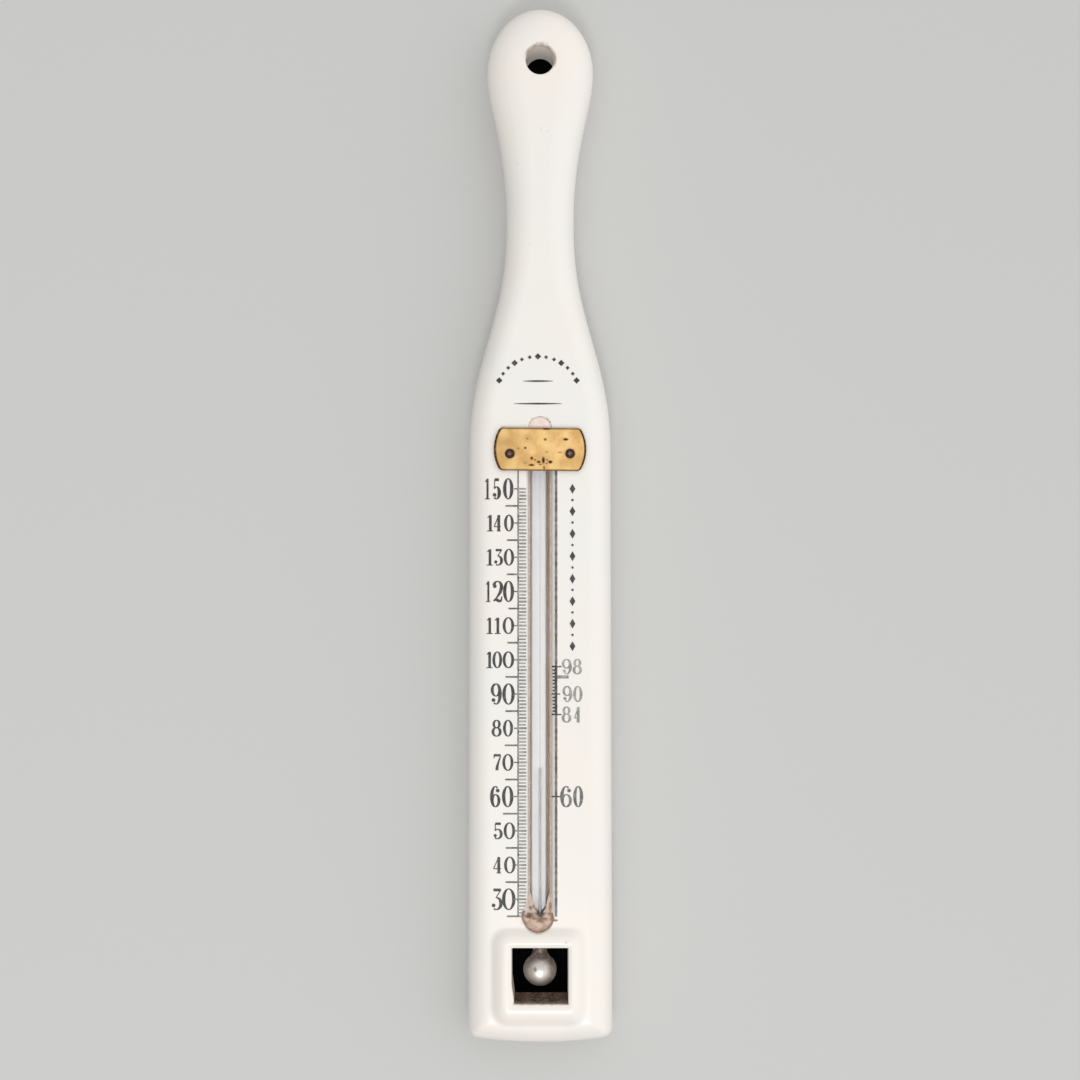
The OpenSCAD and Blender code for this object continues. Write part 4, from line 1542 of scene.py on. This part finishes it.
@dataclass
class Clip:
    """The brass plate over the top of the stem, its two pins and the plugs that they are driven into."""

    length: float = 27.0
    height: float = 12.5
    thick: float = 1.0
    end_r: float = 11.8
    edge_r: float = 0.2
    corner_r: float = 0.9
    corner_steps: int = 5
    tilt: float = -0.6
    dent: float = 0.03
    border: float = 0.6
    border_left: float = 1.6
    border_right: float = 1.3
    columns: int = 64
    rows: int = 20
    crowding: float = 0.25
    head_r: float = 1.4
    head_h: float = 0.6
    head_steps: int = 8
    head_lip: float = 0.06
    shank_r: float = 0.8
    point_l: float = 1.2
    dark_from: float = 0.15
    dark_over: float = 0.65

    def _reach(self, up: float) -> float:
        """Return how far the plate's rounded ends reach at a height above its middle."""
        return self.length / 2 - self.end_r + math.sqrt(max(self.end_r**2 - up * up, 0.0))

    def _plate(self, front: float) -> None:
        """Build the plate: a sheet with its outline, thickened, worn round at its edges and tilted."""
        low, high = box_mm("brass_clip")
        z0 = (low.z + high.z) / 2
        turn = math.radians(self.tilt)
        half, round_r = self.height / 2, self.corner_r
        turns = [math.pi / 2 * (1 - i / self.corner_steps) for i in range(self.corner_steps)]
        corner = [(half - round_r * (1 - math.sin(a)), round_r * (1 - math.cos(a))) for a in turns]
        straight = [(mix(half - round_r, round_r - half, i / self.rows), 0.0) for i in range(self.rows + 1)]
        rows = corner + straight + [(-z, cut) for z, cut in reversed(corner)]

        def place(column: int, row: int) -> Sequence[float]:
            """Return the place of one point of the plate's face."""
            z, cut = rows[row]
            along = mix(-1, 1, column / self.columns)
            return (self._reach(z) - cut) * along * (1 + self.crowding * (1 - along**2)), 0, z

        def bent(x: float, y: float, z: float) -> Triple:
            """Return where the dented and tilted plate has a point of the flat one."""
            dent = self.dent * math.sin(0.35 * x + 0.4) * math.cos(0.3 * z) if y < -self.thick / 2 else 0
            across = x * math.cos(turn) - z * math.sin(turn)
            up = x * math.sin(turn) + z * math.cos(turn)
            return across, front + y + dent, z0 + up

        piece = woven("plate", self.columns, len(rows) - 1, place)
        thicken(piece, -self.thick)
        width, limit = self.edge_r * MM, math.radians(60)
        finish_with(piece, "BEVEL", width=width, segments=3, limit_method="ANGLE", angle_limit=limit)
        mark_grime(piece, self._tarnish)
        reshape(piece, bent)
        smooth(piece, 35)
        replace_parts(piece, "brass_clip")
        dress(piece, BRASS.build())

    def _tarnish(self, x: float, y: float, z: float) -> float:
        """Return how much darker the plate is along its border."""
        corner = max(self.corner_r - self.height / 2 + abs(z), 0)
        cut = self.corner_r - math.sqrt(max(self.corner_r**2 - corner**2, 0))
        wide = self.border * (self.border_left if x < 0 else self.border_right)
        ends = soft(2.2 * (1 - (self._reach(z) - cut - abs(x)) / wide))
        sides = soft(1.6 * (1 - (self.height / 2 - abs(z)) / self.border)) * 0.8
        return max(ends, sides)

    def _pin(self, side: str, finish: Material, front: float) -> None:
        """Build a round-headed pin, with its shank driven through the plate."""
        node = f"clip_pin_{side}"
        low, high = box_mm(node)
        seat = front - self.thick
        lip = seat + self.head_lip
        bulge = (self.head_r**2 + self.head_h**2) / (2 * self.head_h)
        swing = math.acos(1 - self.head_h / bulge)
        turns = [swing * i / self.head_steps for i in range(self.head_steps + 1)]
        section = [(bulge * math.sin(a), seat - self.head_h + bulge * (1 - math.cos(a))) for a in turns]
        section += [(self.head_r - self.head_lip, lip), (self.shank_r, lip)]
        section += [(self.shank_r, high.y - self.point_l), (0, high.y)]
        x0, z0 = (low.x + high.x) / 2, (low.z + high.z) / 2

        def rust(x: float, y: float, z: float) -> float:
            """Return the rust and painted shade round the head's painted highlight."""
            return soft((math.hypot(x - x0 + 0.1, z - z0) - self.dark_from) / self.dark_over)

        piece = turned(node + "_worn", section, (x0, z0), Axis.FORWARD, 40)
        mark_grime(piece, rust)
        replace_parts(piece, node)
        dress(piece, finish)

    def build(self, nodes: Mapping[str, Piece], front: float) -> None:
        """Build and dress the clip and its pins, and finish the plugs.

        Args:
            nodes: The frame's nodes.
            front: Y of the plane that the clip lies on.
        """
        self._plate(front)
        iron = IRON.build()
        wood = WOOD.build()
        for side in SIDES:
            self._pin(side, iron, front)
            refinish(nodes[f"pin_plug_{side}"], wood)


@dataclass(frozen=True)
class Stroke:
    """A stroke of a numeral, or its round end where it has one point.

    Each point is a place in the numeral's box and a weight, from 0 for a hairline to 1 for the full width.
    """

    points: tuple[tuple[float, float, float], ...]
    eased: bool = True


def bow(x: float, y: float, wide: float, tall: float, start: float, end: float, heavy: float = 1.0) -> Stroke:
    """Return a curved stroke, heavy where it runs upright.

    Args:
        x: Middle of the curve across the numeral's box.
        y: Middle of the curve up the box.
        wide: Half width of the curve.
        tall: Half height of the curve.
        start: Angle at which the curve starts, in degrees.
        end: Angle at which it ends.
        heavy: Weight of its heaviest part.

    Returns:
        The stroke.
    """
    step, fewest, thinning = 12, 4, 1.3
    count = max(int(abs(end - start) / step), fewest)
    turns = [math.radians(mix(start, end, i / count)) for i in range(count + 1)]
    points = []
    for turn in turns:
        across = math.cos(turn)
        points.append((x + wide * across, y + tall * math.sin(turn), heavy * abs(across) ** thinning))
    return Stroke(tuple(points), False)


def ball(x: float, y: float) -> Stroke:
    """Return the round end of a stroke."""
    return Stroke(((x, y, 1.0),), False)


def line(*points: Triple) -> Stroke:
    """Return a stroke through the points given, eased through its corners."""
    return Stroke(points)


NUMERALS: dict[str, tuple[Stroke, ...]] = {
    "0": (bow(0.5, 0.5, 0.5, 0.5, 0, 360),),
    "1": (
        line((0.6, 0.0, 1), (0.6, 1.0, 1)), line((-0.2, 0.0, 0), (1.3, 0.0, 0)),
        line((-0.1, 0.84, 0), (0.6, 0.97, 0.4)),
    ),
    "2": (
        ball(0.16, 0.76), bow(0.5, 0.72, 0.46, 0.28, 165, -20),
        line((0.94, 0.66, 0.95), (0.78, 0.44, 0.8), (0.4, 0.2, 0.3), (0.02, 0.02, 0)),
        line((0.02, 0.03, 0.1), (0.3, 0.1, 0.75), (0.66, 0.03, 0.8), (0.92, 0.06, 0.4), (1.0, 0.26, 0)),
    ),
    "3": (
        line((0.12, 0.95, 0.75), (0.98, 0.95, 0.75)), line((0.98, 0.95, 0), (0.42, 0.58, 0)),
        bow(0.44, 0.29, 0.54, 0.29, 95, -120), ball(0.14, 0.2),
    ),
    "4": (
        line((0.7, 1.0, 0), (0.0, 0.27, 0)), line((0.0, 0.27, 0), (1.0, 0.27, 0)),
        line((0.7, 0.0, 1), (0.7, 1.0, 1)), line((0.42, 0.0, 0), (1.0, 0.0, 0)),
    ),
    "5": (
        line((0.18, 0.95, 0.75), (0.92, 0.95, 0.75)), line((0.17, 0.96, 0), (0.13, 0.5, 0)),
        bow(0.46, 0.3, 0.52, 0.3, 130, -130), ball(0.14, 0.2),
    ),
    "6": (bow(0.5, 0.5, 0.5, 0.5, 60, 300), bow(0.52, 0.3, 0.46, 0.3, 0, 360, 0.85), ball(0.82, 0.8)),
    "7": (
        line((0.04, 0.95, 0.75), (1.0, 0.95, 0.75)), line((0.04, 0.98, 0), (0.04, 0.76, 0)),
        line((1.0, 0.93, 0), (0.66, 0.5, 0.5), (0.48, 0.2, 0.95), (0.46, 0.0, 1)),
    ),
    "8": (bow(0.5, 0.76, 0.38, 0.24, 0, 360, 0.8), bow(0.5, 0.27, 0.48, 0.27, 0, 360)),
    "9": (bow(0.5, 0.5, 0.5, 0.5, -120, 120), bow(0.48, 0.7, 0.46, 0.3, 0, 360, 0.85), ball(0.18, 0.2)),
}


@dataclass(frozen=True)
class Label:
    """A number on the scale: its degrees, its height and where each digit starts and ends beside its line."""

    degrees: int
    tall: float
    spans: tuple[Point, ...]


LEFT_LABELS = (
    Label(150, 6.2, ((-9.7, -8.5), (-7.5, -5.2), (-4.3, -1.6))),
    Label(140, 4.9, ((-9.1, -7.5), (-7.3, -4.9), (-4.0, -1.5))),
    Label(130, 4.9, ((-9.2, -7.6), (-7.1, -4.6), (-4.1, -1.4))),
    Label(120, 6.2, ((-9.4, -8.3), (-7.6, -4.5), (-4.3, -1.4))),
    Label(110, 4.9, ((-9.2, -7.7), (-6.9, -5.3), (-4.4, -1.4))),
    Label(100, 4.9, ((-9.3, -7.7), (-7.4, -4.9), (-4.4, -1.4))),
    Label(90, 6.2, ((-8.0, -5.0), (-4.5, -1.2))),
    Label(80, 4.9, ((-7.7, -5.0), (-4.3, -1.7))),
    Label(70, 4.9, ((-7.4, -4.9), (-4.5, -1.6))),
    Label(60, 6.2, ((-8.1, -5.3), (-4.6, -1.6))),
    Label(50, 4.9, ((-7.3, -4.7), (-4.1, -1.1))),
    Label(40, 4.9, ((-7.5, -4.8), (-4.0, -1.0))),
    Label(30, 6.3, ((-7.9, -4.7), (-4.6, -1.0))),
)
RIGHT_LABELS = (
    Label(98, 4.5, ((1.7, 4.4), (4.9, 7.4))),
    Label(90, 4.7, ((1.9, 4.5), (5.1, 7.5))),
    Label(84, 4.7, ((1.7, 4.3), (5.1, 7.1))),
    Label(60, 6.2, ((1.3, 4.5), (5.1, 7.7))),
)


@dataclass
class Scale:
    """The fired print: the graduations from the frame, the numbers, and plain ornaments."""

    paddle: Paddle
    left_line: float = -6.4
    right_line: float = 4.7
    thick: float = 0.05
    heavy: float = 1.0
    heavy_short: float = 0.84
    hair: float = 0.28
    spread: Point = (-0.12, 0.24)
    full_share: float = 0.4
    tall_from: float = 5.5
    ball_share: float = 0.56
    degree: float = 1.0
    shown: float = 68.0
    first: int = 25
    last: int = 150
    ten: int = 10
    mark_lap: float = 0.1
    left_line_w: float = 0.42
    right_line_w: float = 0.76
    tick_l: float = 2.35
    tick_w: float = 0.56
    tick_wear: Point = (0.16, 0.2)
    fives: tuple[float, ...] = (3.3, 3.7, 3.6, 4.4, 3.8, 3.9, 3.7, 3.7, 3.1, 2.8, 3.3, 3.3, 3.7)
    five_w: float = 0.5
    ten_l: float = 1.2
    ten_w: float = 0.36
    lone_mark: Quad = (95, 0.4, 3.7, 0.95)
    churning: tuple[int, ...] = (84, 90, 98)
    tooth: Triple = (0.3, 1.05, 0.42)
    long_tooth: float = 1.3
    heavy_line: Quad = (0.05, 0.4, 0.2, 0.78)
    right_marks: tuple[Quad, ...] = (
        (98, 4.7, 6.3, 0.34), (90, 4.7, 5.9, 0.34), (84, 3.9, 6.3, 0.36), (60, 3.4, 6.0, 0.36),
    )
    dash_step: float = 0.3
    line_step: float = 0.8
    line_wear: float = 0.18
    steps: int = 5
    stagger: float = 0.003
    sunk: float = 0.05
    lift: float = 0.0
    right_lift: float = 0.03
    arch_x: float = -0.6
    arch_z: float = -98.0
    arch: Point = (12.2, 11.2)
    arch_ends: Point = (158, 22)
    arch_count: int = 13
    arch_sizes: Triple = (0.95, 0.6, 0.6)
    rules: tuple[Point, ...] = ((-94.0, 4.4), (-100.6, 7.0))
    rule_w: Point = (0.12, 0.5)
    rule_steps: int = 16
    chain_x: float = 9.5
    chain_z: Point = (-125.5, -171.5)
    chain_count: int = 15
    chain_lozenge: Point = (0.85, 1.7)
    chain_dot: float = 0.36
    pieces: list[Piece] = field(default_factory=list)

    def _ribbon(self, points: Sequence[Triple], rows: int = 1) -> None:
        """Lay a strip of print on the glaze.

        Args:
            points: Points of its middle line, each an X, a Z and a width.
            rows: Number of faces across the strip.
        """
        count = len(points) - 1
        lift = self.thick + self.lift + self.stagger * (len(self.pieces) % 9)

        def place(column: int, row: int) -> Sequence[float]:
            """Return the place of one point of the strip."""
            x, z, width = points[column]
            before, after = points[max(column - 1, 0)], points[min(column + 1, count)]
            run = Vector((after[0] - before[0], after[1] - before[1])).normalized()
            aside = width * (row / rows - 0.5)
            x, z = x - run.y * aside, z + run.x * aside
            return x, self.paddle.printed(x, z) - lift, z

        self.pieces.append(woven("strip", count, rows, place))

    def _disc(self, x: float, z: float, radius: float, sides: int = 12, tall: float = 1.0) -> None:
        """Lay a dot or a lozenge of print on the glaze."""

        def place(column: int, row: int) -> Sequence[float]:
            """Return the place of one point of the wrapped dot."""
            angle = 2 * math.pi * column / sides
            a = x + row * radius * math.cos(angle)
            b = z + row * radius * tall * math.sin(angle)
            return a, self.paddle.surface(a, b) - self.thick - self.right_lift, b

        piece = woven("dot", sides, 1, place)
        merge(piece)
        self.pieces.append(piece)

    def _eased(self, stroke: Stroke) -> list[Triple]:
        """Return a stroke's points, with more laid between them on a curve where it is eased."""
        points = stroke.points
        if not stroke.eased:
            return list(points)
        found = []
        for i in range(len(points) - 1):
            knots = (points[max(i - 1, 0)], points[i], points[i + 1], points[min(i + 2, len(points) - 1)])
            for t in (step / self.steps for step in range(self.steps)):
                weights = (
                    -t + 2 * t**2 - t**3, 2 - 5 * t**2 + 3 * t**3, t + 4 * t**2 - 3 * t**3, t**3 - t**2,
                )
                found.append(tuple(sum(w * knot[j] for w, knot in zip(weights, knots)) / 2 for j in range(3)))
        return found + [points[-1]]

    def _digit(self, name: str, left: float, right: float, foot: float, tall: float) -> None:
        """Draw one digit in its box.

        Args:
            name: The digit.
            left: X of the box's left side.
            right: X of its right side.
            foot: Z of its foot.
            tall: Its height.
        """
        left, right = left + self.spread[0], right + self.spread[1]
        heavy = self.heavy if tall > self.tall_from else self.heavy_short
        full = min(heavy, (right - left) * self.full_share)
        low_z, high_z = foot + self.hair / 2, foot + tall - self.hair / 2
        low_x, high_x = left + full / 2, right - full / 2
        for stroke in NUMERALS[name]:
            points = [
                (mix(low_x, high_x, x), mix(low_z, high_z, z), mix(self.hair, full, held(weight)))
                for x, z, weight in self._eased(stroke)
            ]
            if len(points) == 1:
                self._disc(points[0][0], points[0][1], full * self.ball_share)
            else:
                self._ribbon(points)

    def _numbers(self, labels: Sequence[Label], line_x: float) -> None:
        """Draw the numbers beside one line."""
        for label in labels:
            middle = self._level(label.degrees)
            for digit, (left, right) in zip(str(label.degrees), label.spans):
                self._digit(digit, line_x + left, line_x + right, middle - label.tall / 2, label.tall)

    def _level(self, degrees: float) -> float:
        """Return the height of a mark."""
        return box_mm("mercury_column")[1].z + (degrees - self.shown) * self.degree

    def _dash(self, start: float, end: float, degrees: float, width: float) -> None:
        """Draw a level mark between two places, at a number of degrees."""
        count = max(round(abs(end - start) / self.dash_step), 1)
        z = self._level(degrees)
        self._ribbon([(mix(start, end, i / count), z, width) for i in range(count + 1)])

    def _upright(self, x: float, start: float, end: float, width: float, rows: int = 1) -> None:
        """Draw an upright line between two heights, unevenly worn.

        Args:
            x: Its place across the paddle.
            start: Z of one end.
            end: Z of the other end.
            width: Its full width.
            rows: Number of faces across it.
        """
        count = round(abs(end - start) / self.line_step)
        worn = [1 + ripple(self.line_wear, 2.3 * i, 0.37 * i + x) for i in range(count + 1)]
        self._ribbon([(x, mix(start, end, i / count), width * share) for i, share in enumerate(worn)], rows)

    def _left_line(self) -> None:
        """Draw the left line and the longer marks at the fives and tens."""
        low, high = box_mm("left_graduations")
        self._upright(self.left_line, low.z + self.thick, high.z, self.left_line_w)
        start = self.left_line - self.mark_lap
        for length, degrees in zip(self.fives, range(self.first, self.last, self.ten)):
            self._dash(start, self.left_line - length, degrees, self.five_w)
            self._dash(start, self.left_line - self.ten_l, degrees + self.ten // 2, self.ten_w)

    def _ticks(self) -> None:
        """Draw a tick for each degree, unevenly worn, and the lone mark by the right line."""
        for degrees in range(self.first, self.last + 1):
            uneven = ripple(1, 12.9 * degrees, 4.1 * degrees)
            inner = self.left_line + self.tick_l + self.tick_wear[0] * uneven
            self._dash(self.left_line, inner, degrees, self.tick_w * (1 + self.tick_wear[1] * uneven))
        degrees, start, end, width = self.lone_mark
        self._dash(self.right_line + start, self.right_line + end, degrees, width)

    def _right_marks(self) -> None:
        """Draw the heavy toothed line between the two churning marks, and the marks to the numbers."""
        lowest, highest = self.churning[0], self.churning[-1]
        inset, over, under, width = self.heavy_line
        top, foot = self._level(highest + over), self._level(lowest - under)
        self._upright(self.right_line - inset, top, foot, width)
        start, end, width = self.tooth
        for degrees in range(lowest, highest + 1):
            reach = self.long_tooth if degrees in self.churning else end
            self._dash(self.right_line - start, self.right_line - reach, degrees, width)
        for degrees, start, end, width in self.right_marks:
            self._dash(start, end, degrees, width)

    def _ornaments(self) -> None:
        """Draw an arch of lozenges over two short rules, and a chain of lozenges beside the tube."""
        wide, tall = self.arch
        for i in range(self.arch_count):
            turn = math.radians(mix(*self.arch_ends, i / (self.arch_count - 1)))
            x, z = self.arch_x + wide * math.cos(turn), self.arch_z + tall * math.sin(turn)
            self._disc(x, z, self.arch_sizes[i % len(self.arch_sizes)], 4)
        shares = [i / self.rule_steps for i in range(self.rule_steps + 1)]
        for z, reach in self.rules:
            start, end = self.arch_x - reach, self.arch_x + reach
            self._ribbon([(mix(start, end, t), z, mix(*self.rule_w, math.sin(math.pi * t))) for t in shares])
        for i in range(self.chain_count):
            z = mix(*self.chain_z, i / (self.chain_count - 1))
            if i % 2:
                self._disc(self.chain_x, z, self.chain_dot)
            else:
                self._disc(self.chain_x, z, self.chain_lozenge[0], 4, self.chain_lozenge[1])

    def _finish(self, name: str, material: Material) -> Piece:
        """Join the strips drawn so far, thicken them down into the glaze and dress them."""
        piece = joined(self.pieces, name)
        self.pieces = []
        thicken(piece, self.thick + self.lift + self.sunk)
        return dress(piece, material)

    def build(self) -> None:
        """Draw and dress the print."""
        dark, worn, faint = (finish.build() for finish in (PRINT, WORN_PRINT, FAINT_PRINT))
        self._numbers(LEFT_LABELS, self.left_line)
        self._finish("left_numbers", dark)
        self._numbers(RIGHT_LABELS[:-1], self.right_line)
        self._finish("churning_numbers", faint)
        self._numbers(RIGHT_LABELS[-1:], self.right_line)
        self._finish("lone_number", worn)
        self._left_line()
        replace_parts(self._finish("left_scale", worn), "left_graduations")
        self._ticks()
        self._finish("degree_ticks", faint)
        low, high = box_mm("right_graduations")
        self._upright(self.right_line, low.z + self.thick, high.z, self.right_line_w, 5)
        self._finish("right_line", worn)
        self.lift = self.right_lift
        self._right_marks()
        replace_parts(self._finish("right_scale", dark), "right_graduations")
        self.lift = 0.0
        self._ornaments()
        self._finish("ornaments", dark)


@dataclass
class Studio:
    """The pale wall, the painted-shade cards behind the openings, the lamp, the world and the camera."""

    camera_y: float = -616.0
    camera_z: float = -154.2
    lens: float = 68.4
    sensor: float = 36.0
    shift: float = 0.0435
    nearest: float = 0.01
    wall: Shown = (200, 200, 198)
    wall_z: float = -140.0
    wall_size: float = 2600.0
    wall_gap: float = 0.8
    # Near-black cards just behind the window and the hole: painted shade, so that the openings look dark as
    # in deep shadow.
    card: Shown = (10, 10, 10)
    card_gap: float = 0.3
    window_card: Point = (-267.6, 17.4)
    hole_card: Point = (0.0, 12.0)
    key: Triple = (-20.0, -1040.0, -700.0)
    key_size: float = 300.0
    key_power: float = 2.4
    key_aim: Triple = (0.0, 0.0, -170.0)
    bright_side: Triple = (0.68, -0.8, 0.35)
    bright_range: Point = (-0.4, 0.9)
    dim: float = 0.35
    bright: float = 1.0
    glows: tuple[tuple[Triple, float, float], ...] = (
        ((-0.25, -0.8, -0.5), 0.84, 0.75), ((0, 1, 0), 0.4, 0.6),
    )

    def _one_way(self, name: str, colour: Colour) -> Material:
        """Make a finish that shows from the front only, and that neither shades nor tints the object."""
        material, shading = new_material(name)
        plain = shading.add("BsdfDiffuse", {0: colour})
        clear = shading.add("BsdfTransparent")
        back = shading.add("NewGeometry").outputs["Backfacing"]
        path = shading.add("LightPath").outputs
        unseen = shading.calc("MAXIMUM", path["Is Shadow Ray"], path["Is Diffuse Ray"])
        gone = shading.calc("MAXIMUM", back, unseen)
        shading.add("OutputMaterial", {"Surface": shading.either(gone, plain, clear)})
        return material

    def _board(self, name: str, z: float, size: float, gap: float, colour: Shown) -> None:
        """Stand a square board behind the object, facing the front.

        Args:
            name: The board's name.
            z: Height of its middle.
            size: Length of its sides.
            gap: Its distance behind the flat back.
            colour: Its display colour.
        """
        deselect()
        bpy.ops.mesh.primitive_plane_add(size=1, location=(0, gap * MM, z * MM), rotation=(math.pi / 2, 0, 0))
        board = named(name)
        board.scale = (size * MM, size * MM, 1)
        board.data.materials.append(self._one_way(name, linear(colour)))

    def _hang_key(self) -> None:
        """Hang the round soft lamp and turn it towards the object."""
        deselect()
        bpy.ops.object.light_add(type="AREA", location=[p * MM for p in self.key])
        lamp = named("key")
        lamp.data.shape = "DISK"
        lamp.data.size = self.key_size * MM
        lamp.data.energy = self.key_power
        way = Vector(self.key_aim) - Vector(self.key)
        lamp.rotation_euler = way.to_track_quat("-Z", "Y").to_euler()

    def _light_world(self) -> None:
        """Light the world softly, brightest from one side, and show it plain to the camera."""
        world = bpy.data.worlds.new("studio")
        bpy.context.scene.world = world
        world.use_nodes = True
        shading = Shading(world.node_tree)
        way = shading.add("TexCoord").outputs["Generated"]

        def toward(side: Triple) -> Socket:
            """Return how nearly a way points to a side, 1 where it does."""
            inputs = {0: way, 1: Vector(side).normalized()}
            return shading.add("VectorMath", inputs, operation="DOT_PRODUCT").outputs["Value"]

        level = shading.ramp(toward(self.bright_side), *self.bright_range, self.dim, self.bright)
        for side, start, lift in self.glows:
            level = shading.calc("ADD", level, shading.ramp(toward(side), start, 1.0, 0.0, lift))
        light = shading.add("Background", {0: (1, 1, 1, 1), 1: level})
        seen = shading.add("Background", {0: linear(self.wall), 1: 1.0})
        camera_ray = shading.add("LightPath").outputs["Is Camera Ray"]
        shading.add("OutputWorld", {"Surface": shading.either(camera_ray, light, seen)})

    def _set_camera(self) -> None:
        """Stand the camera in front, square to the object, as the photograph's was."""
        deselect()
        place = (0, self.camera_y * MM, self.camera_z * MM)
        bpy.ops.object.camera_add(location=place, rotation=(math.pi / 2, 0, 0))
        camera = named("camera")
        camera.data.lens = self.lens
        camera.data.sensor_width = self.sensor
        camera.data.shift_y = self.shift
        camera.data.clip_start = self.nearest
        bpy.context.scene.camera = camera
        bpy.context.scene.view_settings.view_transform = "Standard"

    def build(self) -> None:
        """Set up the wall, the painted-shade cards, the lamp, the world and the camera."""
        self._board("pale_wall", self.wall_z, self.wall_size, self.wall_gap, self.wall)
        # The two near-black cards are painted shade, seen through the window and the hole.
        self._board("window_card", *self.window_card, self.card_gap, self.card)
        self._board("hole_card", *self.hole_card, self.card_gap, self.card)
        self._hang_key()
        self._light_world()
        self._set_camera()


def main() -> None:
    """Load the frame and build the thermometer round it, piece by piece."""
    logging.basicConfig(level=logging.INFO, format="%(name)s: %(message)s")
    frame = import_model()
    paddle = Paddle()
    paddle.build()
    tube = Tube()
    tube.build()
    Plasters(paddle, tube).build()
    Clip().build(frame["nodes"], paddle.front)
    Scale(paddle).build()
    Studio().build()


if __name__ == "__main__":
    main()
